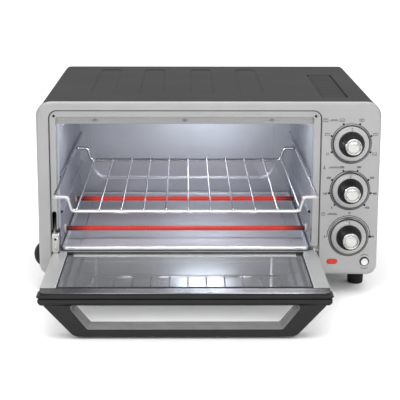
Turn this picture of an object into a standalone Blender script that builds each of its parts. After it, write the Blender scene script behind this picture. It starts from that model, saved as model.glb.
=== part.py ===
"""Toaster oven with a drop-down glass door, a sliding wire rack and three control knobs.

Units are metres, +Z is up, +X is to the right of someone facing the oven and the front
faces -Y.  The door is modelled open, the rack partly drawn out and the crumb tray home.
Inside this file, positions are in oven coordinates: x = 0 is the middle of the cabinet,
y = 0 is the front face of the bezel and z = 0 is the worktop.  One empty, oven_origin,
carries every piece, and sets the origin at the middle of the footprint of the whole model.
"""
import math

import bmesh
import bpy
from mathutils import Matrix, Vector

# ---------------------------------------------------------------- driving dimensions
ORIGIN_X = 0.0055           # where the cabinet's middle lies, from the middle of the footprint
ORIGIN_Y = -0.0900          # where the bezel's front face lies, from the same point

WIDTH = 0.432               # across the bezel
FOOT_HEIGHT = 0.024
BEZEL_HEIGHT = 0.224
CABINET_DEPTH = 0.347       # bezel face to the back of the wrap
GAP = 0.0003                # between pieces that touch

Z0 = FOOT_HEIGHT            # bottom of the bezel
Z1 = Z0 + BEZEL_HEIGHT      # top of the bezel
SHEET = 0.0010              # bezel and door sheet
THIN = 0.0007               # cavity sheet

WRAP_HALF = 0.2115          # outside of the black wrap
WRAP_TOP = Z1 - 0.0015
WRAP_BOTTOM = Z0 + 0.0014
WRAP_FRONT = 0.0090
BASE_TOP = WRAP_BOTTOM + 0.0021
CORNER_TOP = 0.019
CORNER_BOTTOM = 0.013

RECESS = (-0.2003, 0.1415, Z0 + 0.0145, Z0 + 0.2130)   # stamped seat of the door: x, x, z, z
RECESS_DEPTH = 0.003
SEAT_CORNER = 0.0105        # radius of the seat's upper corners
MOUTH = (-0.1915, 0.1317, Z0 + 0.0162, Z0 + 0.2043)    # hole in that seat

CAVITY_LEFT = -0.1885       # inner faces of the cooking chamber
CAVITY_RIGHT = 0.1305
CAVITY_BACK = 0.3215
CAVITY_TOP = Z0 + 0.2065
CAVITY_FLANGE = Z0 + 0.0312
RAIL_TOP = Z0 + 0.1288      # shelf that the rack's side wires slide on
LOW_RAIL_TOP = Z0 + 0.0838

HINGE_Y = 0.0034
HINGE_Z = Z0 + 0.0319
DOOR_LEFT = -0.1985
DOOR_RIGHT = 0.1390
DOOR_TOP_FACE = Z0 + 0.0305     # inner face of the open door
DOOR_BOTTOM_FACE = Z0 + 0.0185  # outer face of the open door
DOOR_HINGE_EDGE = 0.0100
DOOR_FRAME_END = -0.1550
DOOR_END = -0.1762
WINDOW = (-0.1795, 0.1198, DOOR_FRAME_END, -0.0010)    # in the inner frame: x, x, y, y
DOOR_SIGHT = (-0.1700, 0.1105, -0.1440, -0.0120)       # in the outer frame: x, x, y, y
DOOR_GLASS_Z = (DOOR_TOP_FACE - 0.0053, DOOR_TOP_FACE - SHEET - GAP)
HINGE_PIN_RADIUS = 0.0011

RACK_X = -0.0288
RACK_HALF = 0.1556
RACK_FRONT = -0.1225
RACK_BACK = 0.1775
EAR_Z = RAIL_TOP + 0.0023
BAR_Z = Z0 + 0.1140
FRAME_WIRE = 0.0020
CROSS_WIRE = 0.0011
CROSS_WIRES = 11
CROSS_PITCH = 0.0261

ROD_RADIUS = 0.0033
ROD_ENDS = (-0.2000, 0.1420)
ROD_Z_LOW = Z0 + 0.0475
ROD_Z_HIGH = Z0 + 0.1900
ROD_Y_FRONT = 0.0560
ROD_Y_REAR = 0.2250

KNOB_X = 0.1788
KNOB_Z = (Z0 + 0.1712, Z0 + 0.1111, Z0 + 0.0506)

LAMP = (0.1584, Z0 + 0.0178)
BUTTON = (0.2000, Z0 + 0.0177)
INLET = (0.1700, Z0 + 0.0450)
FOOT_X = 0.1955
FOOT_Y = (0.047, 0.310)

PIN_Y = HINGE_Y - 0.0040    # pivot of the door link in the left hinge arm
PIN_Z = HINGE_Z + 0.0204
LINK_X = -0.1960
LINK_END = (0.0550, Z0 + 0.0900)
LINK_PIN_RADIUS = 0.0014
ANCHOR_Y = 0.2450           # far end of the counterbalance spring

# ---------------------------------------------------------------- scene
for old in list(bpy.data.objects):
    bpy.data.objects.remove(old, do_unlink=True)


def new_collection(name):
    collection = bpy.data.collections.new(name)
    bpy.context.scene.collection.children.link(collection)
    return collection


PARTS = new_collection("toaster_oven")
CUTTERS = new_collection("cutters")


def new_empty(name, location, parent=None):
    empty = bpy.data.objects.new(name, None)
    empty.empty_display_size = 0.02
    empty.parent = parent
    empty.location = location
    PARTS.objects.link(empty)
    return empty


ORIGIN = new_empty("oven_origin", (ORIGIN_X, ORIGIN_Y, 0.0))


# ---------------------------------------------------------------- materials
def material(name, colour, roughness, metallic=0.0):
    made = bpy.data.materials.new(name)
    made.use_nodes = True
    made.diffuse_color = (*colour, 1.0)
    shader = made.node_tree.nodes["Principled BSDF"]
    shader.inputs["Base Color"].default_value = (*colour, 1.0)
    shader.inputs["Roughness"].default_value = roughness
    shader.inputs["Metallic"].default_value = metallic
    return made


FINISHES = {
    "brushed_silver": ((0.62, 0.62, 0.61), 0.35, 1.0),
    "black_paint": ((0.03, 0.03, 0.03), 0.45, 0.0),
    "zinc_sheet": ((0.55, 0.57, 0.60), 0.40, 1.0),
    "aluminised": ((0.50, 0.53, 0.60), 0.38, 1.0),
    "chrome_wire": ((0.80, 0.80, 0.80), 0.15, 1.0),
    "heater_red": ((0.80, 0.12, 0.08), 0.50, 0.0),
    "ceramic": ((0.85, 0.83, 0.78), 0.60, 0.0),
    "dark_plastic": ((0.06, 0.06, 0.06), 0.45, 0.0),
    "black_rubber": ((0.02, 0.02, 0.02), 0.70, 0.0),
    "glass": ((0.60, 0.62, 0.62), 0.05, 0.0),
    "chrome": ((0.85, 0.85, 0.85), 0.08, 1.0),
    "red_lens": ((0.75, 0.05, 0.03), 0.20, 0.0),
    "phenolic": ((0.20, 0.12, 0.07), 0.55, 0.0),
    "spring_steel": ((0.55, 0.55, 0.55), 0.30, 1.0),
}


# ---------------------------------------------------------------- building blocks
def finish(obj, finish_name, parent=None, pivot=(0.0, 0.0, 0.0), smooth=30.0):
    """Give a piece its own material and hang it on its parent.

    The mesh is in oven coordinates.  pivot is where the parent empty stands in them.
    """
    colour, roughness, metallic = FINISHES[finish_name]
    obj.data.materials.clear()
    obj.data.materials.append(material(obj.name, colour, roughness, metallic))
    obj.parent = parent or ORIGIN
    obj.location = -Vector(pivot)
    obj.data.shade_smooth()
    if smooth:
        obj.data.set_sharp_from_angle(angle=math.radians(smooth))
    return obj


def mesh_object(name, bm, collection=PARTS):
    mesh = bpy.data.meshes.new(name)
    bmesh.ops.recalc_face_normals(bm, faces=bm.faces)
    bm.to_mesh(mesh)
    bm.free()
    obj = bpy.data.objects.new(name, mesh)
    collection.objects.link(obj)
    return obj


def box(name, x, y, z, bevel=0.0, collection=PARTS):
    """A box between the pairs x, y and z, with its edges rounded by bevel."""
    bm = bmesh.new()
    bmesh.ops.create_cube(bm, size=1.0)
    size = Vector((x[1] - x[0], y[1] - y[0], z[1] - z[0]))
    middle = Vector(((x[0] + x[1]) / 2, (y[0] + y[1]) / 2, (z[0] + z[1]) / 2))
    bmesh.ops.scale(bm, vec=size, verts=bm.verts)
    bmesh.ops.translate(bm, vec=middle, verts=bm.verts)
    obj = mesh_object(name, bm, collection)
    if bevel:
        edges = obj.modifiers.new("edges", "BEVEL")
        edges.width = bevel
        edges.segments = 1
    return obj


AXIS_TURN = {
    "X": Matrix.Rotation(math.radians(90), 4, "Y"),
    "Y": Matrix.Rotation(math.radians(90), 4, "X"),
    "Z": Matrix.Identity(4),
}


def cylinder(name, axis, centre, radius, length, radius_end=None, segments=24,
             collection=PARTS):
    """A cylinder or cone along axis, centred on centre; radius_end is on the -Y, +X or +Z end."""
    bm = bmesh.new()
    tip = radius if radius_end is None else radius_end
    bmesh.ops.create_cone(bm, cap_ends=True, segments=segments, radius1=radius,
                          radius2=tip, depth=length)
    bmesh.ops.transform(bm, matrix=Matrix.Translation(centre) @ AXIS_TURN[axis], verts=bm.verts)
    return mesh_object(name, bm, collection)


def turned(name, profile, axis, centre, steps=32, collection=PARTS):
    """A turned piece from (radius, height) points, top to bottom, about axis through centre."""
    mesh = bpy.data.meshes.new(name)
    points = [(radius, 0.0, height) for radius, height in profile]
    mesh.from_pydata(points, [(i, i + 1) for i in range(len(points) - 1)], [])
    obj = bpy.data.objects.new(name, mesh)
    CUTTERS.objects.link(obj)
    screw = obj.modifiers.new("turn", "SCREW")
    screw.steps = steps
    screw.render_steps = steps
    screw.use_merge_vertices = True
    screw.merge_threshold = 0.00005
    return as_mesh(obj, name, Matrix.Translation(centre) @ AXIS_TURN[axis], collection)


def as_mesh(source, name, matrix=None, collection=PARTS, weld=0.000005):
    """Turn a curve or a modified object into a welded mesh object and drop the source."""
    bpy.context.view_layer.update()
    graph = bpy.context.evaluated_depsgraph_get()
    mesh = bpy.data.meshes.new_from_object(source.evaluated_get(graph))
    mesh.name = name
    bm = bmesh.new()
    bm.from_mesh(mesh)
    bmesh.ops.remove_doubles(bm, verts=bm.verts, dist=weld)
    bmesh.ops.transform(bm, matrix=matrix or source.matrix_world, verts=bm.verts)
    bmesh.ops.recalc_face_normals(bm, faces=bm.faces)
    bm.to_mesh(mesh)
    bm.free()
    bpy.data.objects.remove(source, do_unlink=True)
    obj = bpy.data.objects.new(name, mesh)
    collection.objects.link(obj)
    return obj


def poly_spline(curve, points, cyclic):
    spline = curve.splines.new("POLY")
    spline.points.add(len(points) - 1)
    for place, point in zip(spline.points, points):
        place.co = (*point, 1.0)
    spline.use_cyclic_u = cyclic


def plate(name, outlines, axis, span, collection=PARTS):
    """A flat plate: closed outlines (the later ones are holes) extruded over span along axis.

    Outlines are (x, z) for axis Y, (x, y) for axis Z and (y, z) for axis X.
    """
    curve = bpy.data.curves.new(name, "CURVE")
    curve.dimensions = "2D"
    curve.fill_mode = "BOTH"
    curve.extrude = (span[1] - span[0]) / 2
    for outline in outlines:
        poly_spline(curve, [(u, v, 0.0) for u, v in outline], True)
    obj = bpy.data.objects.new(name, curve)
    CUTTERS.objects.link(obj)
    middle = (span[0] + span[1]) / 2
    matrix = {
        "X": Matrix(((0, 0, 1, middle), (1, 0, 0, 0), (0, 1, 0, 0), (0, 0, 0, 1))),
        "Y": Matrix(((1, 0, 0, 0), (0, 0, -1, middle), (0, 1, 0, 0), (0, 0, 0, 1))),
        "Z": Matrix(((1, 0, 0, 0), (0, 1, 0, 0), (0, 0, 1, middle), (0, 0, 0, 1))),
    }[axis]
    return as_mesh(obj, name, matrix, collection)


def wire(name, points, radius, closed=False, sides=2, collection=PARTS):
    """A round wire through points."""
    curve = bpy.data.curves.new(name, "CURVE")
    curve.dimensions = "3D"
    curve.bevel_depth = radius
    curve.bevel_resolution = sides
    curve.use_fill_caps = not closed
    poly_spline(curve, points, closed)
    obj = bpy.data.objects.new(name, curve)
    CUTTERS.objects.link(obj)
    return as_mesh(obj, name, Matrix.Identity(4), collection)


def folded_sheet(name, profile, axis, span, thickness, offset=-1.0, collection=PARTS):
    """Sheet metal folded along a profile and drawn out over span along axis.

    The profile is (x, z) for axis Y and (y, z) for axis X.
    """
    bm = bmesh.new()
    if axis == "Y":
        start = [bm.verts.new((u, span[0], v)) for u, v in profile]
        shift = Vector((0.0, span[1] - span[0], 0.0))
    else:
        start = [bm.verts.new((span[0], u, v)) for u, v in profile]
        shift = Vector((span[1] - span[0], 0.0, 0.0))
    edges = [bm.edges.new(pair) for pair in zip(start, start[1:])]
    drawn = bmesh.ops.extrude_edge_only(bm, edges=edges)["geom"]
    moved = [item for item in drawn if isinstance(item, bmesh.types.BMVert)]
    bmesh.ops.translate(bm, vec=shift, verts=moved)
    return thicken(mesh_object(name, bm, collection), thickness, offset)


def stamped_sheet(name, loops, thickness, offset=-1.0, filled=False, collection=PARTS):
    """Stamped sheet metal: matching closed loops of points joined in order, then thickened."""
    bm = bmesh.new()
    rings = [[bm.verts.new(point) for point in loop] for loop in loops]
    for outer, inner in zip(rings, rings[1:]):
        count = len(outer)
        for i in range(count):
            j = (i + 1) % count
            bm.faces.new((outer[i], outer[j], inner[j], inner[i]))
    if filled:
        bm.faces.new(rings[-1])
    return thicken(mesh_object(name, bm, collection), thickness, offset)


def thicken(obj, thickness, offset):
    shell = obj.modifiers.new("thickness", "SOLIDIFY")
    shell.thickness = thickness
    shell.offset = offset
    shell.use_even_offset = True
    return obj


def boolean(obj, cutters, operation="DIFFERENCE"):
    """Cut obj with cutters, or join them to it, by Boolean modifiers."""
    for cutter in cutters:
        if cutter.name not in CUTTERS.objects:
            CUTTERS.objects.link(cutter)
        cutter.hide_render = True
        cutter.display_type = "WIRE"
        cutter.parent = obj.parent
        cutter.location = obj.location
        cut = obj.modifiers.new(cutter.name, "BOOLEAN")
        cut.operation = operation
        cut.object = cutter
    return obj


def rounded_rectangle(x0, x1, z0, z1, bottom, top, steps=4):
    """Points of a rectangle with round corners, anticlockwise from the lower left."""
    corners = ((x0, z0, bottom, 180), (x1, z0, bottom, 270), (x1, z1, top, 0), (x0, z1, top, 90))
    points = []
    for x, z, radius, start in corners:
        inward_x = radius if x == x0 else -radius
        inward_z = radius if z == z0 else -radius
        for i in range(steps + 1):
            angle = math.radians(start + 90 * i / steps)
            points.append((x + inward_x + radius * math.cos(angle),
                           z + inward_z + radius * math.sin(angle)))
    return points


def inset_rectangle(sides, inset, bottom, top, steps=4):
    x0, x1, z0, z1 = sides
    return rounded_rectangle(x0 + inset, x1 - inset, z0 + inset, z1 - inset,
                             max(bottom - inset, 0.0005), max(top - inset, 0.0005), steps)


def at_y(points, y):
    return [(x, y, z) for x, z in points]


def at_z(points, z):
    return [(x, y, z) for x, y in points]


def arc(centre, radius, start, end, steps):
    """Points on an arc, in degrees."""
    angles = [math.radians(start + (end - start) * i / steps) for i in range(steps + 1)]
    return [(centre[0] + radius * math.cos(a), centre[1] + radius * math.sin(a)) for a in angles]


# ---------------------------------------------------------------- cabinet
def build_bezel():
    """Front bezel: one stamped silver sheet with the recessed seat of the door."""
    outer = (-WIDTH / 2, WIDTH / 2, Z0, Z1)
    round_edge = 0.0035
    loops = [at_y(inset_rectangle(outer, 0, CORNER_BOTTOM, CORNER_TOP), 0.012)]
    for i in range(4):
        angle = math.radians(30 * i)
        inset = round_edge * (1 - math.cos(angle))
        depth = round_edge * (1 - math.sin(angle))
        loops.append(at_y(inset_rectangle(outer, inset, CORNER_BOTTOM, CORNER_TOP), depth))
    step = 0.0008
    loops.append(at_y(inset_rectangle(RECESS, -step, 0.003, SEAT_CORNER), 0.0))
    loops.append(at_y(inset_rectangle(RECESS, 0, 0.003, SEAT_CORNER), step))
    loops.append(at_y(inset_rectangle(RECESS, 0, 0.003, SEAT_CORNER), RECESS_DEPTH - step))
    loops.append(at_y(inset_rectangle(RECESS, step, 0.003, SEAT_CORNER), RECESS_DEPTH))
    loops.append(at_y(inset_rectangle(MOUTH, -0.0008, 0.0012, 0.0035), RECESS_DEPTH))
    loops.append(at_y(inset_rectangle(MOUTH, 0, 0.001, 0.003), RECESS_DEPTH + 0.0008))
    loops.append(at_y(inset_rectangle(MOUTH, 0, 0.001, 0.003), 0.0075))
    bezel = stamped_sheet("front_bezel", loops, SHEET, -1.0)
    finish(bezel, "brushed_silver")
    depth = (-0.002, 0.016)
    seat_inside = 0.0002
    cuts = [
        box("cut_hinge_notch", (RECESS[0] + seat_inside, RECESS[1] - seat_inside), (0.0012, 0.016),
            (Z0 + 0.0158, Z0 + 0.0375), collection=CUTTERS),
        box("cut_arm_notch", (RECESS[0] + seat_inside, CAVITY_LEFT - 0.0004), (0.0012, 0.016),
            (Z0 + 0.0300, Z0 + 0.0590), collection=CUTTERS),
        box("cut_slot", (-0.1987, -0.1930), depth, (Z0 + 0.0570, Z0 + 0.0830), collection=CUTTERS),
        plate("cut_lamp", [pill(LAMP, 0.0070, 0.00345)], "Y", depth, CUTTERS),
        cylinder("cut_button", "Y", (BUTTON[0], 0.007, BUTTON[1]), 0.0061, 0.018,
                 collection=CUTTERS),
    ]
    for index, x in enumerate(RECESS[:2]):
        cuts.append(cylinder(f"cut_pin_{index}", "X", (x, HINGE_Y, HINGE_Z), 0.0018, 0.006,
                             segments=12, collection=CUTTERS))
    for index, z in enumerate(KNOB_Z):
        cuts.append(cylinder(f"cut_shaft_{index}", "Y", (KNOB_X, 0.007, z), 0.0045, 0.018,
                             segments=16, collection=CUTTERS))
    for index, x in enumerate((-0.1937, 0.1340)):
        cuts.append(cylinder(f"cut_bumper_{index}", "Y", (x, 0.007, Z0 + 0.2055), 0.0017, 0.018,
                             segments=12, collection=CUTTERS))
    return boolean(bezel, cuts)


def pill(centre, half_length, radius, steps=6):
    """Outline of a pill lying along X."""
    straight = half_length - radius
    right = arc((centre[0] + straight, centre[1]), radius, -90, 90, steps)
    left = arc((centre[0] - straight, centre[1]), radius, 90, 270, steps)
    return right + left


def build_wrap():
    """Black outer wrap: both sides and the top in one folded sheet, with louvres at the right."""
    half = WRAP_HALF
    top = 0.0150
    low = 0.0105
    profile = [(-0.1780, WRAP_BOTTOM)]
    profile += arc((-half + low, WRAP_BOTTOM + low), low, 270, 180, 4)
    profile += arc((-half + top, WRAP_TOP - top), top, 180, 90, 5)
    profile += arc((half - top, WRAP_TOP - top), top, 90, 0, 5)
    profile += arc((half - low, WRAP_BOTTOM + low), low, 0, -90, 4)
    profile += [(0.1780, WRAP_BOTTOM)]
    wrap = folded_sheet("outer_wrap", profile, "Y", (WRAP_FRONT, CABINET_DEPTH), 0.0008, -1.0)
    finish(wrap, "black_paint")
    cuts = []
    for index in range(10):
        y = 0.0560 + 0.0200 * index
        cuts.append(box(f"cut_louvre_{index}", (0.1470, 0.1790), (y, y + 0.0100),
                        (WRAP_TOP - 0.004, WRAP_TOP + 0.004), collection=CUTTERS))
    return boolean(wrap, cuts)


def build_rear_panel():
    """Back of the cabinet, with a grid of vent slots and the hole of the lead's inlet."""
    outline = rounded_rectangle(-0.2130, 0.2130, Z0 + 0.0010, WRAP_TOP - 0.0002, 0.004, 0.012)
    panel = plate("rear_panel", [outline], "Y", (CABINET_DEPTH + GAP, CABINET_DEPTH + 0.0013))
    finish(panel, "black_paint")
    depth = (CABINET_DEPTH - 0.002, CABINET_DEPTH + 0.004)
    cuts = []
    for row in range(2):
        for column in range(8):
            x = -0.150 + 0.030 * column
            z = Z0 + 0.165 + 0.022 * row
            cuts.append(box(f"cut_vent_{row}_{column}", (x, x + 0.018), depth, (z, z + 0.005),
                            collection=CUTTERS))
    cuts.append(cylinder("cut_inlet", "Y", (INLET[0], CABINET_DEPTH, INLET[1]), 0.0083, 0.02,
                         collection=CUTTERS))
    return boolean(panel, cuts)


def build_base():
    """Galvanised base of the cabinet."""
    outline = rounded_rectangle(-0.2000, 0.2000, 0.0135, CABINET_DEPTH - 0.001, 0.003, 0.003, 2)
    base = plate("base_panel", [outline], "Z", (BASE_TOP - 0.0010, BASE_TOP))
    return finish(base, "zinc_sheet")


def build_feet():
    for side, x in (("left", -FOOT_X), ("right", FOOT_X)):
        for place, y in (("front", FOOT_Y[0]), ("rear", FOOT_Y[1])):
            height = WRAP_BOTTOM - GAP
            profile = [(0.0, height), (0.0118, height), (0.0118, height - 0.003),
                       (0.0102, 0.0012), (0.0092, 0.0), (0.0, 0.0)]
            foot = turned(f"{place}_{side}_foot", profile, "Z", (x, y, 0.0), 16)
            finish(foot, "black_rubber")


def build_side_bumper():
    """Round rubber bumper that keeps the left side clear of a wall."""
    radius = 0.0170
    height = 0.0152
    steps = 5
    profile = []
    for i in range(steps + 1):
        angle = math.radians(90 - 90 * i / steps)
        profile.append((radius * math.cos(angle), height * math.sin(angle)))
    profile[0] = (0.0, height)
    profile.append((0.0, 0.0))
    bumper = turned("side_bumper", profile, "X", (0.0, 0.0, 0.0), 28)
    place = Matrix.Translation((-WRAP_HALF - GAP, 0.0400, Z0 + 0.0172)) @ Matrix.Rotation(
        math.radians(180), 4, "Z")
    bumper.data.transform(place)
    return finish(bumper, "black_rubber")


# ---------------------------------------------------------------- cooking chamber
def wall_profile(inner, outward):
    """Section of a side wall in (x, z): tray flange, two stamped rails, then the top edge."""
    reach = 0.0045 * outward
    return [
        (inner - 0.0080 * outward, CAVITY_FLANGE),
        (inner, CAVITY_FLANGE),
        (inner, LOW_RAIL_TOP - 0.0060),
        (inner - reach, LOW_RAIL_TOP - 0.0040),
        (inner - reach, LOW_RAIL_TOP),
        (inner, LOW_RAIL_TOP + 0.0002),
        (inner, RAIL_TOP - 0.0060),
        (inner - reach, RAIL_TOP - 0.0040),
        (inner - reach, RAIL_TOP),
        (inner, RAIL_TOP + 0.0002),
        (inner, CAVITY_TOP - 0.0010),
    ]


def build_cavity():
    """The four aluminised walls of the cooking chamber."""
    depth = (0.0090, CAVITY_BACK - 0.0012)
    for name, inner, outward in (("cavity_left_wall", CAVITY_LEFT, -1),
                                 ("cavity_right_wall", CAVITY_RIGHT, 1)):
        wall = folded_sheet(name, wall_profile(inner, outward), "Y", depth, THIN, 1.0)
        finish(wall, "aluminised")
        cuts = [box(f"cut_{name}_front", (inner - 0.02, inner + 0.02), (0.0, 0.0215),
                    (Z0 + 0.02, Z0 + 0.0365), collection=CUTTERS)]
        for index, (y, z) in enumerate(rod_places()):
            cuts.append(cylinder(f"cut_{name}_{index}", "X", (inner, y, z), ROD_RADIUS + 0.0009,
                                 0.02, segments=16, collection=CUTTERS))
        boolean(wall, cuts)
    ceiling = folded_sheet("cavity_ceiling",
                           [(0.0092, Z0 + 0.1948), (0.0092, CAVITY_TOP),
                            (CAVITY_BACK - 0.0012, CAVITY_TOP)],
                           "X", (CAVITY_LEFT + 0.0004, CAVITY_RIGHT - 0.0004), THIN, 1.0)
    finish(ceiling, "aluminised")
    outer = (CAVITY_LEFT - THIN, CAVITY_RIGHT + THIN, Z0 + 0.0335, CAVITY_TOP + 0.0012)
    emboss = (-0.1700, 0.1060, Z0 + 0.0560, CAVITY_TOP - 0.0060)
    loops = [
        at_y(inset_rectangle(outer, 0, 0.001, 0.001), CAVITY_BACK),
        at_y(inset_rectangle(emboss, 0, 0.022, 0.004), CAVITY_BACK),
        at_y(inset_rectangle(emboss, 0.0015, 0.022, 0.004), CAVITY_BACK + 0.0015),
    ]
    rear = stamped_sheet("cavity_rear_wall", loops, THIN, -1.0, filled=True)
    finish(rear, "aluminised")


def rod_places():
    return [(y, z) for z in (ROD_Z_LOW, ROD_Z_HIGH) for y in (ROD_Y_FRONT, ROD_Y_REAR)]


def build_heaters():
    """Four quartz heater rods and the ceramic blocks that hold their ends."""
    names = ("lower_front_heater", "lower_rear_heater", "upper_front_heater", "upper_rear_heater")
    middle = sum(ROD_ENDS) / 2
    length = ROD_ENDS[1] - ROD_ENDS[0]
    for name, (y, z) in zip(names, rod_places()):
        rod = cylinder(name, "X", (middle, y, z), ROD_RADIUS, length, segments=16)
        finish(rod, "heater_red")
    for level, z in (("lower", ROD_Z_LOW), ("upper", ROD_Z_HIGH)):
        for side, x in (("left", (-0.2010, -0.1945)), ("right", (0.1365, 0.1430))):
            holder = box(f"{level}_{side}_heater_holder", x, (0.0450, 0.2360),
                         (z - 0.0080, z + 0.0080))
            finish(holder, "ceramic")
            cuts = []
            for index, y in enumerate((ROD_Y_FRONT, ROD_Y_REAR)):
                cuts.append(cylinder(f"cut_{holder.name}_{index}", "X", (sum(x) / 2, y, z),
                                     ROD_RADIUS + 0.0003, 0.02, segments=16, collection=CUTTERS))
            boolean(holder, cuts)


def build_tray(parent):
    """Crumb tray: a shallow pan that is the chamber's floor and slides out over the door."""
    x0 = CAVITY_LEFT + 0.0012
    x1 = CAVITY_RIGHT - 0.0012
    y0 = 0.0045
    y1 = CAVITY_BACK - 0.0030
    floor = CAVITY_FLANGE + 0.0008
    rim = floor + 0.0042
    outline = rounded_rectangle(x0, x1, y0, y1, 0.003, 0.003, 2)
    inner = rounded_rectangle(x0 + 0.0012, x1 - 0.0012, y0 + 0.0012, y1 - 0.0012, 0.003, 0.003, 2)
    loops = [at_z(outline, rim), at_z(outline, floor + 0.0012), at_z(inner, floor)]
    tray = stamped_sheet("crumb_tray", loops, 0.0006, -1.0, filled=True)
    return finish(tray, "aluminised", parent, parent.location)


def rack_end(y, towards):
    """Wire of one end of the rack: an ear, the drop, the low bar and the ear on the other side."""
    ear = RACK_HALF - FRAME_WIRE
    drop_top = ear - 0.0165
    drop_foot = ear - 0.0215
    left = [(-drop_top, EAR_Z), (-drop_top + 0.0022, EAR_Z - 0.0022),
            (-drop_foot - 0.0022, BAR_Z + 0.0022), (-drop_foot, BAR_Z)]
    right = [(-x, z) for x, z in reversed(left)]
    points = left + right
    if towards < 0:
        points = points[::-1]
    return [(RACK_X + x, y, z) for x, z in points]


def rack_corner(x, y, start, radius=0.006, steps=3):
    points = arc((x, y), radius, start, start + 90, steps)
    return [(px, py, EAR_Z) for px, py in points]


def build_rack(parent):
    """Chrome wire rack: a frame with raised side wires, and cross wires welded on its bars."""
    left = RACK_X - RACK_HALF + FRAME_WIRE
    right = RACK_X + RACK_HALF - FRAME_WIRE
    front = RACK_FRONT
    back = RACK_BACK
    bend = 0.006
    loop = rack_end(front, 1)
    loop += rack_corner(right - bend, front + bend, -90)
    loop += rack_corner(right - bend, back - bend, 0)
    loop += rack_end(back, -1)
    loop += rack_corner(left + bend, back - bend, 90)
    loop += rack_corner(left + bend, front + bend, 180)
    rack = wire("wire_rack", loop, FRAME_WIRE, closed=True)
    finish(rack, "chrome_wire", parent, parent.location, 40.0)
    rest = BAR_Z + FRAME_WIRE + CROSS_WIRE - 0.0005
    cross = []
    for index in range(CROSS_WIRES):
        x = RACK_X + 0.0030 + CROSS_PITCH * (index - (CROSS_WIRES - 1) / 2)
        ends = [(x, front - 0.0015, rest), (x, back + 0.0015, rest)]
        cross.append(wire(f"cross_wire_{index}", ends, CROSS_WIRE, sides=1, collection=CUTTERS))
    return boolean(rack, cross, "UNION")


# ---------------------------------------------------------------- door
def build_door(parent):
    """Drop-down door: folded frame, glass, inner frame, trim and handle."""
    place = parent.location
    outer = (DOOR_LEFT, DOOR_RIGHT, DOOR_FRAME_END, DOOR_HINGE_EDGE)
    top = DOOR_TOP_FACE - SHEET - GAP
    pan = [
        at_z(inset_rectangle(outer, 0, 0.002, 0.004, 3), top),
        at_z(inset_rectangle(outer, 0, 0.002, 0.004, 3), DOOR_BOTTOM_FACE + 0.0015),
        at_z(inset_rectangle(outer, 0.0015, 0.002, 0.004, 3), DOOR_BOTTOM_FACE),
        at_z(inset_rectangle(DOOR_SIGHT, 0, 0.003, 0.003, 3), DOOR_BOTTOM_FACE),
        at_z(inset_rectangle(DOOR_SIGHT, 0, 0.003, 0.003, 3), DOOR_GLASS_Z[0] - GAP),
    ]
    frame = stamped_sheet("door_frame", pan, SHEET, -1.0)
    finish(frame, "brushed_silver", parent, place)
    inner = plate("door_inner_frame",
                  [rounded_rectangle(*outer, 0.002, 0.004, 3),
                   rounded_rectangle(WINDOW[0], WINDOW[1], WINDOW[2] + 0.0045, WINDOW[3],
                                     0.003, 0.003, 3)],
                  "Z", (DOOR_TOP_FACE - SHEET, DOOR_TOP_FACE))
    finish(inner, "brushed_silver", parent, place)
    glass = box("door_glass", (WINDOW[0] - 0.0055, WINDOW[1] + 0.0055),
                (DOOR_FRAME_END + 0.0016, 0.0050), DOOR_GLASS_Z, 0.0004)
    finish(glass, "glass", parent, place)
    for side, x in (("left", (-0.1802, -0.1712)), ("right", (0.1118, 0.1212))):
        clip = box(f"glass_clip_{side}", x, (-0.0100, -0.0030),
                   (DOOR_TOP_FACE + GAP, DOOR_TOP_FACE + 0.0010), 0.0002)
        finish(clip, "black_rubber", parent, place)


def handle_outline(inset, top):
    """Trapezium of the handle in (x, z), symmetrical about the door's middle."""
    middle = (DOOR_LEFT + DOOR_RIGHT) / 2 + 0.0002
    bottom = Z0 - 0.0214
    half_top = 0.1640
    half_bottom = 0.1240
    shoulder = (half_bottom + 0.0060, bottom + 0.0028)
    right = [(half_bottom - 0.0060, bottom), (half_bottom, bottom + 0.0008), shoulder,
             (half_top, top)]
    if inset:
        low = bottom + 0.0104
        right = [(half_bottom - 0.0135, low), (half_bottom - 0.0110, low + 0.0008),
                 (half_top - 0.0300, top - 0.0030), (half_top - 0.0315, top)]
    left = [(-x, z) for x, z in reversed(right)]
    return [(middle + x, z) for x, z in right + left]


def build_door_end(parent):
    """Plastic cap over the door's free edge, its bright strip and the handle."""
    place = parent.location
    split = Z0 + 0.0240
    cap_x = (-0.2000, 0.1408)
    cap_y = (DOOR_END, DOOR_FRAME_END - 0.0006)
    step = Z0 + 0.0280
    cap = box("door_trim", cap_x, cap_y, (split, step), 0.0010)
    finish(cap, "dark_plastic", parent, place)
    land = plate("trim_land", [rounded_rectangle(*cap_x, *cap_y, SEAT_CORNER, 0.0010, 5)], "Z",
                 (step - 0.0015, DOOR_TOP_FACE - 0.0006), CUTTERS)
    boolean(cap, [land], "UNION")
    strip_outline = rounded_rectangle(-0.1960, 0.1370, DOOR_END + 0.0014, DOOR_FRAME_END - 0.0014,
                                      0.0070, 0.0010, 4)
    strip = plate("door_trim_strip", [strip_outline], "Z",
                  (DOOR_TOP_FACE - 0.0003, DOOR_TOP_FACE + 0.0004))
    finish(strip, "brushed_silver", parent, place)
    under = DOOR_BOTTOM_FACE - 0.0006
    ring = plate("door_handle", [handle_outline(False, under), handle_outline(True, under - 0.0012)],
                 "Y", (DOOR_END, DOOR_END + 0.0240))
    finish(ring, "dark_plastic", parent, place)
    base = box("handle_base", (-0.1986, 0.1394), (DOOR_END, DOOR_FRAME_END - 0.0006),
               (under - 0.0010, split - 0.0008), 0.0, CUTTERS)
    boolean(ring, [base], "UNION")
    edges = ring.modifiers.new("edges", "BEVEL")
    edges.width = 0.0010
    edges.segments = 1
    edges.limit_method = "ANGLE"
    edges.angle_limit = math.radians(50)


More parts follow.
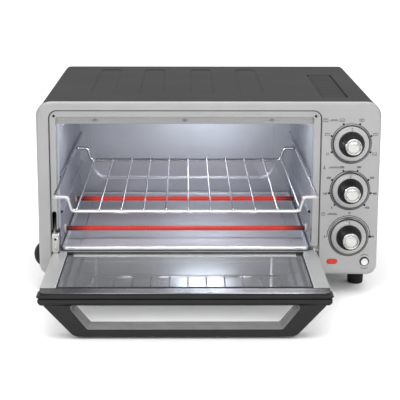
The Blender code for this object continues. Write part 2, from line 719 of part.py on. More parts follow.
def build_hinges(parent):
    """Hinge arms on the door with their pins, and the cabinet plates that carry the pins."""
    place = parent.location
    left_x = (-0.1993, -0.1897)
    arm = plate("hinge_arm_left", [channel_outline(left_x)], "Z", (DOOR_TOP_FACE + GAP, Z0 + 0.0560))
    finish(arm, "zinc_sheet", parent, place)
    window = box("cut_arm_web", (left_x[0] + 0.0009, left_x[1] - 0.0009), (-0.0080, -0.0040),
                 (Z0 + 0.0500, Z0 + 0.0600), collection=CUTTERS)
    boolean(arm, [window])
    link_pin = cylinder("link_pin", "X", (sum(left_x) / 2, PIN_Y, PIN_Z), LINK_PIN_RADIUS,
                        left_x[1] - left_x[0] - 0.0004, segments=12, collection=CUTTERS)
    pin_left = cylinder("pin_left", "X", (-0.2018, HINGE_Y, HINGE_Z), HINGE_PIN_RADIUS, 0.0060,
                        segments=16, collection=CUTTERS)
    boolean(arm, [link_pin, pin_left], "UNION")
    ear_x = (0.1352, 0.1364)
    ear = plate("hinge_arm_right", [ear_outline()], "X", ear_x)
    finish(ear, "zinc_sheet", parent, place)
    pin_right = cylinder("pin_right", "X", (0.1403, HINGE_Y, HINGE_Z), HINGE_PIN_RADIUS, 0.0096,
                         segments=16, collection=CUTTERS)
    boolean(ear, [pin_right], "UNION")
    hole = arc((HINGE_Y, HINGE_Z), HINGE_PIN_RADIUS + GAP, 0, 337.5, 15)
    outline = rounded_rectangle(SHEET + GAP, 0.0200, HINGE_Z - 0.0100, HINGE_Z + 0.0120,
                                0.001, 0.001, 1)
    for side, x in (("left", (-0.2036, -0.2026)), ("right", (0.1436, 0.1446))):
        finish(plate(f"hinge_plate_{side}", [outline, hole], "X", x), "zinc_sheet")


def channel_outline(x):
    """Section of the left hinge arm: a channel open towards the cabinet."""
    sheet = 0.0009
    front = -0.0062
    back = 0.0062
    return [(x[0], front), (x[1], front), (x[1], back), (x[1] - sheet, back),
            (x[1] - sheet, front + sheet), (x[0] + sheet, front + sheet),
            (x[0] + sheet, back), (x[0], back)]


def ear_outline():
    """Side view of the right hinge ear in (y, z)."""
    top = arc((HINGE_Y, HINGE_Z), 0.0040, 0, 180, 8)
    foot = DOOR_TOP_FACE + GAP
    return top + [(HINGE_Y - 0.0040, foot), (HINGE_Y + 0.0040, foot)]


def build_link(parent):
    """Flat link from the left hinge arm to the counterbalance spring."""
    run = Vector((LINK_END[0] - PIN_Y, LINK_END[1] - PIN_Z))
    slope = math.degrees(math.atan2(run.y, run.x))
    half = 0.0030
    outline = arc((PIN_Y, PIN_Z), half, slope + 90, slope + 270, 6)
    outline += arc(LINK_END, half, slope - 90, slope + 90, 6)
    holes = [arc(centre, LINK_PIN_RADIUS + GAP, 0, 330, 11) for centre in ((PIN_Y, PIN_Z), LINK_END)]
    link = plate("door_link", [outline] + holes, "X", (LINK_X - 0.0012, LINK_X + 0.0012))
    return finish(link, "zinc_sheet", parent, parent.location)


def build_spring():
    """Counterbalance spring of the door, hooked into the link and into its anchor."""
    radius = 0.0042
    turns = 10
    per_turn = 8
    start, end = 0.1550, 0.2350
    y0, z0 = LINK_END
    z1 = z0 + 0.0040
    points = [(LINK_X - 0.0024, y0, z0), (LINK_X + 0.0026, y0, z0), (LINK_X + 0.0026, y0 + 0.008, z0),
              (LINK_X, y0 + 0.014, z0 + 0.0004), (LINK_X, start - 0.006, z1),
              (LINK_X + radius * 0.6, start - 0.002, z1)]
    for i in range(turns * per_turn + 1):
        angle = 2 * math.pi * i / per_turn
        y = start + (end - start) * i / (turns * per_turn)
        points.append((LINK_X + radius * math.cos(angle), y, z1 + radius * math.sin(angle)))
    points += [(LINK_X + radius * 0.5, end + 0.003, z1), (LINK_X, end + 0.006, z1),
               (LINK_X, ANCHOR_Y + 0.0035, z1), (LINK_X, ANCHOR_Y + 0.0042, z1 - 0.0040)]
    spring = wire("door_spring", points, 0.0006, sides=0)
    finish(spring, "spring_steel")
    base = BASE_TOP + GAP
    outline = rounded_rectangle(-0.2050, -0.1900, base, z1 + 0.006, 0.001, 0.001, 1)
    hole = arc((LINK_X, z1), 0.0014, 0, 330, 11)
    anchor = plate("spring_anchor", [outline, hole], "Y", (ANCHOR_Y, ANCHOR_Y + 0.0012))
    finish(anchor, "zinc_sheet")


# ---------------------------------------------------------------- controls
def build_knobs(parents):
    """Three knobs, each a silver skirt, a black grip with its stem and a chrome cap."""
    steps = 20
    skirt = [(0.0186, 0.0042), (0.0218, 0.0034), (0.0223, 0.0026), (0.0223, 0.0006),
             (0.0034, 0.0006), (0.0034, 0.0042), (0.0186, 0.0042)]
    grip = [(0.0, 0.0212), (0.0104, 0.0212), (0.0140, 0.0150), (0.0158, 0.0095),
            (0.0162, 0.0045), (0.0030, 0.0045), (0.0030, -0.0120), (0.0, -0.0120)]
    cap = [(0.0, 0.0256), (0.0070, 0.0252), (0.0096, 0.0240), (0.0104, 0.0228),
           (0.0104, 0.0215), (0.0, 0.0215)]
    for (name, parent), z in zip(parents.items(), KNOB_Z):
        centre = (KNOB_X, 0.0, z)
        for part, profile, look in (("skirt", skirt, "brushed_silver"),
                                    ("grip", grip, "dark_plastic"), ("cap", cap, "chrome")):
            piece = turned(f"{name}_knob_{part}", profile, "Y", centre, steps)
            finish(piece, look, parent, parent.location)


def build_switches():
    """Switch, thermostat and timer bodies behind the panel, each with a bore for its shaft."""
    y0 = SHEET + GAP
    bodies = [
        box("function_switch", (KNOB_X - 0.018, KNOB_X + 0.018), (y0, 0.034),
            (KNOB_Z[0] - 0.018, KNOB_Z[0] + 0.018), 0.001),
        box("thermostat", (KNOB_X - 0.015, KNOB_X + 0.015), (y0, 0.028),
            (KNOB_Z[1] - 0.015, KNOB_Z[1] + 0.015), 0.001),
        cylinder("timer", "Y", (KNOB_X, y0 + 0.0215, KNOB_Z[2]), 0.0215, 0.043, segments=28),
    ]
    for body, look in zip(bodies, ("phenolic", "ceramic", "zinc_sheet")):
        finish(body, look)
    for body, z in zip(bodies, KNOB_Z):
        bore = cylinder(f"cut_{body.name}_bore", "Y", (KNOB_X, 0.0065, z), 0.0033, 0.014,
                        segments=16, collection=CUTTERS)
        boolean(body, [bore])


def build_lamp_and_button(button_parent):
    lens = plate("indicator_lens", [pill(LAMP, 0.0067, 0.00315)], "Y", (-0.0009, 0.0095))
    finish(lens, "red_lens")
    holder = box("lamp_holder", (LAMP[0] - 0.006, LAMP[0] + 0.006), (0.0098, 0.0220),
                 (LAMP[1] - 0.005, LAMP[1] + 0.005), 0.0005)
    finish(holder, "phenolic")
    x, z = BUTTON
    ring = turned("button_ring", [(0.0050, 0.0014), (0.0058, 0.0010), (0.0058, -0.0060),
                                  (0.0050, -0.0060), (0.0050, 0.0014)], "Y", (x, 0.0, z), 20)
    finish(ring, "dark_plastic")
    button = turned("reset_button", [(0.0, 0.0028), (0.0040, 0.0025), (0.0046, 0.0018),
                                     (0.0046, -0.0120), (0.0, -0.0120)], "Y", (x, 0.0, z), 20)
    finish(button, "chrome", button_parent, button_parent.location)
    switch = box("reset_switch", (x - 0.006, x + 0.006), (0.0145, 0.0290), (z - 0.008, z + 0.008),
                 0.0005)
    finish(switch, "phenolic")


def build_wiring():
    """Terminal block on the base and the inlet of the supply lead in the back."""
    block = box("terminal_block", (INLET[0] - 0.016, INLET[0] + 0.016), (0.296, 0.318),
                (BASE_TOP + GAP, Z0 + 0.0200), 0.001)
    finish(block, "phenolic")
    face = CABINET_DEPTH + 0.0013
    profile = [(0.0050, 0.0080), (0.0100, 0.0080), (0.0125, 0.0060), (0.0125, 0.0003),
               (0.0080, 0.0003), (0.0080, -0.0090), (0.0050, -0.0090), (0.0050, 0.0080)]
    gland = turned("cord_inlet", profile, "Y", (0.0, 0.0, 0.0), 20)
    turn = Matrix.Translation((INLET[0], face, INLET[1])) @ Matrix.Rotation(math.pi, 4, "Z")
    gland.data.transform(turn)
    finish(gland, "dark_plastic")
    shield = plate("heat_shield", [rounded_rectangle(0.030, 0.330, BASE_TOP + GAP, Z0 + 0.2000,
                                                     0.002, 0.002, 1)], "X", (0.1480, 0.1487))
    finish(shield, "zinc_sheet")


def build_bumpers():
    """Rubber buttons in the corners of the door's seat."""
    for side, x in (("left", -0.1937), ("right", 0.1340)):
        profile = [(0.0, 0.0004), (0.0012, 0.0002), (0.0014, -0.0003), (0.0014, -0.0040),
                   (0.0, -0.0040)]
        bumper = turned(f"door_bumper_{side}", profile, "Y", (x, RECESS_DEPTH, Z0 + 0.2055), 12)
        finish(bumper, "black_rubber")


# ---------------------------------------------------------------- assembly
door_axis = new_empty("door_axis", (0.0, HINGE_Y, HINGE_Z), ORIGIN)
link_axis = new_empty("link_axis", (LINK_X, PIN_Y, PIN_Z), ORIGIN)
rack_slide = new_empty("rack_slide", (RACK_X, 0.0, BAR_Z), ORIGIN)
tray_slide = new_empty("tray_slide", (RACK_X, 0.0, CAVITY_FLANGE), ORIGIN)
button_axis = new_empty("button_axis", (BUTTON[0], 0.0, BUTTON[1]), ORIGIN)
knob_axes = {}
for knob_name, knob_height in zip(("function", "temperature", "timer"), KNOB_Z):
    knob_axes[knob_name] = new_empty(f"{knob_name}_axis", (KNOB_X, 0.0, knob_height), ORIGIN)

build_bezel()
build_wrap()
build_rear_panel()
build_base()
build_feet()
build_side_bumper()
build_cavity()
build_heaters()
build_tray(tray_slide)
build_rack(rack_slide)
build_door(door_axis)
build_door_end(door_axis)
build_hinges(door_axis)
build_link(link_axis)
build_spring()
build_knobs(knob_axes)
build_switches()
build_lamp_and_button(button_axis)
build_wiring()
build_bumpers()
bpy.context.view_layer.update()
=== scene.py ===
"""Looks of the toaster oven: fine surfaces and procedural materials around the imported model.

Positions are in oven coordinates, as in part.py: x = 0 is the middle of the cabinet, y = 0 the
front face of the bezel and z = 0 the worktop.  Every new piece has its object at OVEN, that
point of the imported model.
"""
import math

import bmesh
import bpy
from mathutils import Matrix, Vector


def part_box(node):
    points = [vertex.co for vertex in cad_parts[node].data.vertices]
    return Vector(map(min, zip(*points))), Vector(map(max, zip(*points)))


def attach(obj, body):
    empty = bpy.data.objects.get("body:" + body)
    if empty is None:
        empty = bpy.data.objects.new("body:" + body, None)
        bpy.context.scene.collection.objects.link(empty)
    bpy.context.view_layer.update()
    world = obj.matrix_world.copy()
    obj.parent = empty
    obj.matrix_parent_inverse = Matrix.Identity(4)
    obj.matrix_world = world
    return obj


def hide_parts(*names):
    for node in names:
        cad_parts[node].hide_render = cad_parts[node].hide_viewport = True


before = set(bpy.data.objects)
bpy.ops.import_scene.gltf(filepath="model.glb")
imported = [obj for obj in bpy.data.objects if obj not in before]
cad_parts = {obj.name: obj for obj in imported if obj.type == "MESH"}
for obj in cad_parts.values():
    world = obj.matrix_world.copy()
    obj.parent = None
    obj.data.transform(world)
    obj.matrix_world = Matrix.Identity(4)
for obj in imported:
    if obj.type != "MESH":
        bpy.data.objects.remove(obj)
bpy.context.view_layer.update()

BEZEL_LOW, BEZEL_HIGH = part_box("front_bezel")
OVEN = Vector(((BEZEL_LOW.x + BEZEL_HIGH.x) / 2, BEZEL_LOW.y, 0.0))


def span(node):
    """Lowest and highest corner of a CAD node, in oven coordinates."""
    low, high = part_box(node)
    return low - OVEN, high - OVEN


# ---------------------------------------------------------------- driving dimensions
HALF_WIDTH = (BEZEL_HIGH.x - BEZEL_LOW.x) / 2
Z0 = BEZEL_LOW.z                       # bottom of the bezel
Z1 = BEZEL_HIGH.z
WRAP_LOW, WRAP_HIGH = span("outer_wrap")
SHEET = 0.0010
CORNER_TOP = 0.019
CORNER_BOTTOM = 0.013
ROLL = 0.0035                          # rolled edge of the bezel
RECESS = (-0.2003, 0.1415, Z0 + 0.0145, Z0 + 0.2130)    # stamped seat of the door
RECESS_DEPTH = 0.003
SEAT_CORNER = 0.0105
SEAT_CORNERS = (0.003, SEAT_CORNER)                      # lower and upper corner radii
MOUTH = (-0.1915, 0.1317, Z0 + 0.0162, Z0 + 0.2043)      # opening into the chamber
MOUTH_CORNERS = (0.001, 0.003)
HINGE_TOP = Z0 + 0.0375                                  # top of the notches for the hinges
KNOBS = ("function", "temperature", "timer")
KNOB_CENTRES = {}
for knob in KNOBS:
    skirt_low, skirt_high = span(f"{knob}_knob_skirt")
    KNOB_CENTRES[knob] = ((skirt_low.x + skirt_high.x) / 2, (skirt_low.z + skirt_high.z) / 2)


# ---------------------------------------------------------------- materials
NOISE_LOW, NOISE_HIGH = 0.3, 0.7       # most of a noise texture lies between these


def scaled(colour, factor):
    return tuple(min(1.0, factor * channel) for channel in colour)


def add_node(tree, kind, **inputs):
    """A new node; each of its inputs is set to a value or fed by a socket."""
    node = tree.nodes.new(kind)
    for name, value in inputs.items():
        socket = node.inputs[name.replace("_", " ")]
        if isinstance(value, bpy.types.NodeSocket):
            tree.links.new(value, socket)
        else:
            socket.default_value = value
    return node


def colour_ramp(tree, source, stops):
    """Colour ramp fed by source; stops are (position, grey or colour), in rising order."""
    node = add_node(tree, "ShaderNodeValToRGB", Fac=source)
    elements = node.color_ramp.elements
    for index, (position, value) in enumerate(stops):
        element = elements[index] if index < 2 else elements.new(position)
        element.position = position
        colour = (value,) * 3 if isinstance(value, (int, float)) else value
        element.color = (*colour, 1.0)
    return node.outputs["Color"]


class Finish:
    """A node material whose helpers add texture nodes in the piece's own coordinates."""

    def __init__(self, name, colour, roughness, metallic=0.0, **sockets):
        self.material = bpy.data.materials.new(name)
        self.material.use_nodes = True
        self.material.diffuse_color = (*colour, 1.0)
        self.tree = self.material.node_tree
        self.shader = self.tree.nodes["Principled BSDF"]
        self.put("Base Color", (*colour, 1.0))
        self.put("Roughness", roughness)
        self.put("Metallic", metallic)
        for socket, value in sockets.items():
            self.put(socket.replace("_", " "), value)
        self.place = self.add("TexCoord").outputs["Object"]

    def add(self, kind, **inputs):
        return add_node(self.tree, f"ShaderNode{kind}", **inputs)

    def put(self, socket, value):
        self.shader.inputs[socket].default_value = value

    def link(self, source, socket):
        self.tree.links.new(source, self.shader.inputs[socket])

    def noise(self, scale, detail=3.0, roughness=0.55):
        """Noise; scale is cells per metre, one number or one for each axis."""
        scale = (scale,) * 3 if isinstance(scale, (int, float)) else scale
        stretched = self.add("Mapping", Scale=scale, Vector=self.place).outputs["Vector"]
        node = self.add("TexNoise", Scale=1.0, Detail=detail, Roughness=roughness, Vector=stretched)
        return node.outputs["Fac"]

    def cells(self, scale):
        """Distance to the nearest of many scattered points; scale is points per metre."""
        return self.add("TexVoronoi", Scale=scale, Vector=self.place).outputs["Distance"]

    def along(self, node):
        """Place along a CAD node's width: 0 at its left end, 1 at its right end."""
        low, high = span(node)
        x = self.add("SeparateXYZ", Vector=self.place).outputs["X"]
        return self.add("MapRange", From_Min=low.x, From_Max=high.x, Value=x).outputs["Result"]

    def ramp(self, source, *stops):
        return colour_ramp(self.tree, source, stops)

    def vary(self, source, low, high, socket):
        """Map the usual range of a noise to low..high on a socket."""
        node = self.add("MapRange", From_Min=NOISE_LOW, From_Max=NOISE_HIGH, To_Min=low, To_Max=high,
                        Value=source)
        self.link(node.outputs["Result"], socket)

    def mottle(self, source, low, high):
        """Blend the base colour between two colours by a noise."""
        self.link(self.ramp(source, (NOISE_LOW, low), (NOISE_HIGH, high)), "Base Color")

    def bump(self, source, strength, distance):
        node = self.add("Bump", Strength=strength, Distance=distance, Height=source)
        self.link(node.outputs["Normal"], "Normal")


def brushed(name, colour, roughness, along, metallic):
    """Brushed sheet: fine scratches drawn out along one axis (0, 1 or 2)."""
    finish = Finish(name, colour, roughness, metallic)
    scale = [2600.0, 2600.0, 2600.0]
    scale[along] = 18.0
    scratches = finish.noise(tuple(scale), 4.0, 0.7)
    finish.vary(scratches, roughness - 0.07, roughness + 0.07, "Roughness")
    finish.mottle(finish.noise(14.0, 2.0), scaled(colour, 0.95), scaled(colour, 1.04))
    finish.bump(scratches, 0.05, 0.0002)
    return finish.material


def strip_with_painted_reflection(name):
    """Bright strip with a painted reflection in its colour: it darkens towards both ends and, less, in its
    middle, and is brightest near its right end.
    """
    finish = Finish(name, (0.60, 0.60, 0.60), 0.22, 0.85)
    # painted reflection: the strip's brightness along its width, with dark ends and a bright band near the
    # right end
    painted_reflection_tone = finish.ramp(finish.along("door_trim_strip"), (0.0, 0.06), (0.10, 0.13), (0.20, 0.30),
                       (0.32, 0.36), (0.50, 0.20), (0.88, 0.90), (0.95, 0.30), (1.0, 0.12))
    finish.link(painted_reflection_tone, "Base Color")
    scratches = finish.noise((20.0, 2600.0, 2600.0), 3.0)
    finish.vary(scratches, 0.16, 0.30, "Roughness")
    finish.bump(scratches, 0.04, 0.0002)
    return finish.material


def painted(name, colour, roughness, shine, grain=2200.0, strength=0.12):
    """Powder coat: fine orange peel and slow changes of gloss."""
    finish = Finish(name, colour, roughness, Specular_IOR_Level=shine)
    finish.mottle(finish.noise(5.0, 2.0), scaled(colour, 0.94), scaled(colour, 1.06))
    finish.vary(finish.noise(9.0, 2.0), roughness - 0.02, roughness + 0.02, "Roughness")
    finish.bump(finish.noise(grain, 2.0, 0.6), strength, 0.0001)
    return finish.material


def moulded(name, colour, roughness, shine, grain=1500.0, strength=0.30):
    """Moulded plastic with a spark-eroded grain."""
    finish = Finish(name, colour, roughness, Specular_IOR_Level=shine)
    finish.bump(finish.cells(grain), strength, 0.0002)
    finish.mottle(finish.noise(40.0, 3.0), scaled(colour, 0.86), scaled(colour, 1.12))
    finish.vary(finish.noise(90.0), roughness - 0.05, roughness + 0.06, "Roughness")
    return finish.material


def aluminised(name, colour, roughness, metallic):
    """Aluminium-coated steel sheet: soft rolling lines and faint smudges."""
    finish = Finish(name, colour, roughness, metallic)
    finish.mottle(finish.noise(9.0, 3.0), scaled(colour, 0.90), scaled(colour, 1.06))
    finish.vary(finish.noise(12.0, 2.0), roughness - 0.04, roughness + 0.06, "Roughness")
    finish.bump(finish.noise((300.0, 12.0, 300.0), 2.0), 0.04, 0.0001)
    return finish.material


def chromed(name, colour, roughness):
    """Bright chrome with fine wipe marks."""
    finish = Finish(name, colour, roughness, 1.0)
    finish.vary(finish.noise(60.0, 2.0), roughness * 0.85, roughness * 1.2, "Roughness")
    finish.mottle(finish.noise(20.0), scaled(colour, 0.96), colour)
    finish.bump(finish.noise(900.0), 0.02, 0.00003)
    return finish.material


def glowing(name):
    """Red-hot rod: glow along the middle, dying away to the dark ends, with the coil inside."""
    finish = Finish(name, (0.035, 0.005, 0.004), 0.38, 0.0, Specular_IOR_Level=0.3)
    hot = (0.60, 0.030, 0.018)
    warm = (0.16, 0.005, 0.003)
    cold = (0.0, 0.0, 0.0)
    glow = finish.ramp(finish.along("lower_front_heater"), (0.035, cold), (0.075, warm), (0.13, hot),
                       (0.87, hot), (0.93, warm), (0.965, cold))
    coil = finish.add("TexWave", Scale=80.0, Distortion=1.5, Vector=finish.place)
    bands = finish.ramp(coil.outputs["Fac"], (0.0, 0.78), (1.0, 1.0))
    blend = finish.add("Mix")
    blend.data_type = "RGBA"
    blend.blend_type = "MULTIPLY"
    blend.inputs["Factor"].default_value = 1.0
    finish.tree.links.new(glow, blend.inputs["A"])
    finish.tree.links.new(bands, blend.inputs["B"])
    finish.link(blend.outputs["Result"], "Emission Color")
    finish.put("Emission Strength", 1.0)
    finish.bump(coil.outputs["Fac"], 0.15, 0.0003)
    return finish.material


def coated_glass(name):
    """Oven glass with a reflective heat coating and a light haze."""
    finish = Finish(name, (0.14, 0.143, 0.145), 0.04, 0.0, IOR=2.8, Alpha=0.72)
    finish.vary(finish.noise(30.0, 2.0), 0.03, 0.06, "Roughness")
    finish.mottle(finish.noise(6.0, 2.0), (0.13, 0.133, 0.135), (0.15, 0.153, 0.155))
    finish.bump(finish.noise(700.0, 1.0), 0.01, 0.0001)
    return finish.material


def lit_lens(name):
    """Translucent red lens with moulded ribs, lit from behind."""
    finish = Finish(name, (0.36, 0.014, 0.006), 0.35, 0.0, Specular_IOR_Level=0.25, Coat_Weight=0.1,
                    Coat_Roughness=0.25)
    ribs = finish.noise((1400.0, 10.0, 10.0), 1.0)
    glow = finish.ramp(ribs, (0.3, (0.30, 0.012, 0.004)), (0.7, (0.62, 0.050, 0.016)))
    finish.link(glow, "Emission Color")
    finish.put("Emission Strength", 0.42)
    finish.bump(ribs, 0.2, 0.0003)
    return finish.material


MATERIALS = {
    "bezel": brushed("brushed_silver", (0.325, 0.325, 0.325), 0.42, 0, 0.55),
    "door_steel": brushed("door_steel", (0.45, 0.45, 0.45), 0.36, 1, 0.55),
    "strip": strip_with_painted_reflection("strip_painted_reflection"),
    "wrap": painted("black_powder_coat", (0.020, 0.020, 0.0205), 0.60, 0.10),
    "rear": painted("rear_powder_coat", (0.030, 0.030, 0.031), 0.55, 0.30),
    "zinc": aluminised("zinc_sheet", (0.52, 0.53, 0.55), 0.42, 0.8),
    "chamber": aluminised("aluminised_sheet", (0.33, 0.35, 0.39), 0.34, 0.60),
    "lip": brushed("ceiling_lip", (0.24, 0.24, 0.24), 0.30, 0, 0.85),
    "tray": aluminised("tray_sheet", (0.38, 0.395, 0.43), 0.42, 0.45),
    # bright copy of the tray sheet: painted highlight on the tray's front lip; also used for the window
    # beads and hinge backs
    "tray_lip": brushed("tray_lip", (0.80, 0.80, 0.80), 0.28, 0, 0.7),
    "chrome": chromed("chrome_wire", (0.46, 0.46, 0.47), 0.10),
    "knob_chrome": chromed("knob_chrome", (0.50, 0.495, 0.48), 0.20),
    "hinge": brushed("hinge_steel", (0.40, 0.40, 0.39), 0.30, 2, 0.85),
    "glow": glowing("glowing_rod"),
    "ceramic": moulded("ceramic", (0.42, 0.41, 0.39), 0.60, 0.4, 700.0, 0.2),
    "plastic": moulded("dark_plastic", (0.010, 0.010, 0.0103), 0.50, 0.25),
    "liner": moulded("handle_liner", (0.170, 0.170, 0.172), 0.45, 0.5),
    "grip": moulded("knob_plastic", (0.006, 0.006, 0.006), 0.45, 0.15, 1800.0, 0.2),
    "rubber": moulded("black_rubber", (0.010, 0.010, 0.010), 0.70, 0.2, 900.0, 0.5),
    # this black rubber is also used as painted shadow: the ribbon in the seat's step and the blocks under
    # the left hinge
    "gasket": moulded("gasket_rubber", (0.006, 0.006, 0.006), 0.60, 0.2, 1200.0, 0.4),
    "glass": coated_glass("door_glass"),
    "skirt": brushed("skirt_silver", (0.36, 0.36, 0.36), 0.42, 0, 0.5),
    # darker than the bezel: the raised ring's grey is painted shade round each dial
    "rim": brushed("rim_silver", (0.24, 0.24, 0.24), 0.30, 0, 0.8),
    "button": brushed("button_silver", (0.60, 0.60, 0.60), 0.35, 0, 0.5),
    "lens": lit_lens("red_lens"),
    "phenolic": moulded("phenolic", (0.16, 0.09, 0.06), 0.55, 0.4, 500.0, 0.3),
    # printed ink; also carries the painted shadow ring at each knob's skirt
    "ink": painted("printed_ink_and_painted_shadow", (0.012, 0.012, 0.012), 0.60, 0.2, 2500.0, 0.1),
}

CARRIED = {
    "rear": ("rear_panel",),
    "zinc": ("base_panel", "heat_shield", "hinge_plate_left", "hinge_plate_right", "spring_anchor", "timer"),
    "ceramic": ("lower_left_heater_holder", "lower_right_heater_holder", "upper_left_heater_holder",
                "upper_right_heater_holder", "terminal_block", "thermostat"),
    "hinge": ("door_link", "door_spring"),
    "phenolic": ("function_switch", "lamp_holder", "reset_switch"),
}


def paint_carried_nodes():
    """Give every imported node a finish; those replaced below are hidden."""
    looks = {name: MATERIALS["plastic"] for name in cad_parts}
    for look, names in CARRIED.items():
        for name in names:
            looks[name] = MATERIALS[look]
    for name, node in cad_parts.items():
        node.data.materials.clear()
        node.data.materials.append(looks[name])


# ---------------------------------------------------------------- building blocks
FLAT_AREA = 8e-5         # larger faces are flat sheet, shaded flat
MERGE = 0.000002         # points closer than this are one point


def shade(mesh, smooth):
    """Smooth the rounded faces only, so that flat faces keep true reflections."""
    mesh.shade_smooth()
    mesh.set_sharp_from_angle(angle=math.radians(smooth))
    for face in mesh.polygons:
        if face.loop_total > 4 or face.area > FLAT_AREA:
            face.use_smooth = False


def in_scene(name, data, place=(0.0, 0.0, 0.0)):
    """A new object of data, at a world position."""
    obj = bpy.data.objects.new(name, data)
    bpy.context.scene.collection.objects.link(obj)
    obj.location = place
    return obj


def placed(name, bm):
    """An object of a bmesh that is in oven coordinates."""
    mesh = bpy.data.meshes.new(name)
    bmesh.ops.recalc_face_normals(bm, faces=bm.faces)
    bm.to_mesh(mesh)
    bm.free()
    return in_scene(name, mesh, OVEN)


def piece(name, bm, look, body, replaces=(), smooth=35.0):
    """Make a visible piece, parented to the empty of the body it rides on, and hide the CAD nodes it stands
    for.
    """
    obj = placed(name, bm)
    obj.data.materials.append(MATERIALS[look])
    shade(obj.data, smooth)
    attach(obj, body)
    if replaces:
        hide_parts(*replaces)
    return obj


def made(build, *arguments, **options):
    """A new bmesh filled by one of the builders below."""
    bm = bmesh.new()
    build(bm, *arguments, **options)
    return bm


def loft(bm, rings, closed=True, cap_start=False, cap_end=False):
    """Join matching rings of points into a surface."""
    layers = [[bm.verts.new(point) for point in ring] for ring in rings]
    for low, high in zip(layers, layers[1:]):
        count = len(low)
        for i in range(count if closed else count - 1):
            j = (i + 1) % count
            bm.faces.new((low[i], low[j], high[j], high[i]))
    if cap_start:
        bm.faces.new(layers[0])
    if cap_end:
        bm.faces.new(layers[-1])


def turned(bm, profile, matrix, steps=48):
    """Turn a (radius, height) profile about the axis that matrix maps +Z to."""
    rings = []
    for i in range(steps):
        angle = 2 * math.pi * i / steps
        rings.append([matrix @ Vector((radius * math.cos(angle), radius * math.sin(angle), height))
                      for radius, height in profile])
    rings.append(rings[0])
    loft(bm, rings, closed=False)
    bmesh.ops.remove_doubles(bm, verts=bm.verts, dist=MERGE)


def facing(x, y, z):
    """Matrix that points a turned piece's height out of the front, towards -Y."""
    return Matrix.Translation((x, y, z)) @ Matrix.Rotation(math.radians(90), 4, "X")


def backing(x, y, z):
    """Matrix that points a turned piece's height out of the back, towards +Y."""
    return Matrix.Translation((x, y, z)) @ Matrix.Rotation(math.radians(-90), 4, "X")


def upright(x, y, z):
    return Matrix.Translation((x, y, z))


def sideways(x, y, z, way):
    """Matrix that points a turned piece's height along +X or -X."""
    return Matrix.Translation((x, y, z)) @ Matrix.Rotation(math.radians(90 * way), 4, "Y")


def arc(centre, radius, start, end, steps):
    """Points from start to end degrees about a centre, both ends included."""
    angles = [math.radians(start + (end - start) * i / steps) for i in range(steps + 1)]
    return [(centre[0] + radius * math.cos(a), centre[1] + radius * math.sin(a)) for a in angles]


def circle(centre, radius, sides):
    return arc(centre, radius, 0, 360 - 360 / sides, sides - 1)


def rounded(x0, x1, z0, z1, bottom, top, steps=10):
    """Points of a rectangle with round corners, anticlockwise from the lower left."""
    corners = ((x0 + bottom, z0 + bottom, bottom, 180), (x1 - bottom, z0 + bottom, bottom, 270),
               (x1 - top, z1 - top, top, 0), (x0 + top, z1 - top, top, 90))
    points = []
    for x, z, radius, start in corners:
        points += arc((x, z), radius, start, start + 90, steps)
    return points


def inset(sides, distance, bottom, top, steps=10):
    """Points of a rounded rectangle (x0, x1, z0, z1) shrunk by distance on every side."""
    x0, x1, z0, z1 = sides
    return rounded(x0 + distance, x1 - distance, z0 + distance, z1 - distance,
                   max(bottom - distance, 0.0003), max(top - distance, 0.0003), steps)


def at_y(points, y):
    return [(x, y, z) for x, z in points]


def at_z(points, z):
    return [(x, y, z) for x, y in points]


def at_x(points, x):
    return [(x, y, z) for y, z in points]


def onto_face(place, sides, corners, radius, level, way=1, steps=4):
    """Rings of a rounded edge, from a wall onto the face at level; way points from face to wall."""
    angles = [math.radians(90 * i / steps) for i in range(steps + 1)]
    return [place(inset(sides, radius * (1 - math.cos(a)), *corners),
                  level + way * radius * (1 - math.sin(a))) for a in angles]


def into_hole(place, sides, corners, radius, level, way=1, steps=4):
    """Rings of a rounded edge, from the face at level into an opening; way points inwards."""
    angles = [math.radians(90 * i / steps) for i in range(steps + 1)]
    return [place(inset(sides, -radius * (1 - math.sin(a)), *corners),
                  level + way * radius * (1 - math.cos(a))) for a in angles]


def slab(bm, outline, place, low, high, edge=0.0004, steps=3):
    """A flat plate with rounded edges: a convex outline drawn out from low to high.

    place turns (points, level) into 3-D points: at_x, at_y or at_z.
    """
    middle = Vector((sum(p[0] for p in outline), sum(p[1] for p in outline))) / len(outline)
    half = [max(abs(p[k] - middle[k]) for p in outline) for k in range(2)]

    def shrunk(distance):
        factor = [max(1.0 - distance / h, 0.02) for h in half]
        return [tuple(middle[k] + (p[k] - middle[k]) * factor[k] for k in range(2)) for p in outline]

    rings = []
    for i in range(steps + 1):
        angle = math.radians(90 * i / steps)
        rings.append(place(shrunk(edge * (1 - math.sin(angle))), low + edge * (1 - math.cos(angle))))
    for i in range(steps + 1):
        angle = math.radians(90 * i / steps)
        rings.append(place(shrunk(edge * (1 - math.cos(angle))), high - edge * (1 - math.sin(angle))))
    loft(bm, rings, cap_start=True, cap_end=True)


def block(bm, x, y, z, edge=0.0004):
    """A box with rounded edges; x, y and z are (from, to)."""
    slab(bm, rounded(*x, *y, edge, edge, 3), at_z, *z, edge)


def bent(points, radius, steps=6, closed=False):
    """A path through points with its corners rounded to a bend radius."""
    points = [Vector(p) for p in points]
    count = len(points)
    path = []
    for i, corner in enumerate(points):
        if not closed and i in (0, count - 1):
            path.append(corner)
            continue
        before, after = points[i - 1], points[(i + 1) % count]
        a, b = (before - corner), (after - corner)
        angle = a.angle(b)
        reach = min(radius / math.tan(angle / 2), 0.49 * a.length, 0.49 * b.length)
        start, end = corner + a.normalized() * reach, corner + b.normalized() * reach
        for k in range(steps + 1):
            t = k / steps
            path.append(start * (1 - t) ** 2 + corner * 2 * t * (1 - t) + end * t ** 2)
    return path


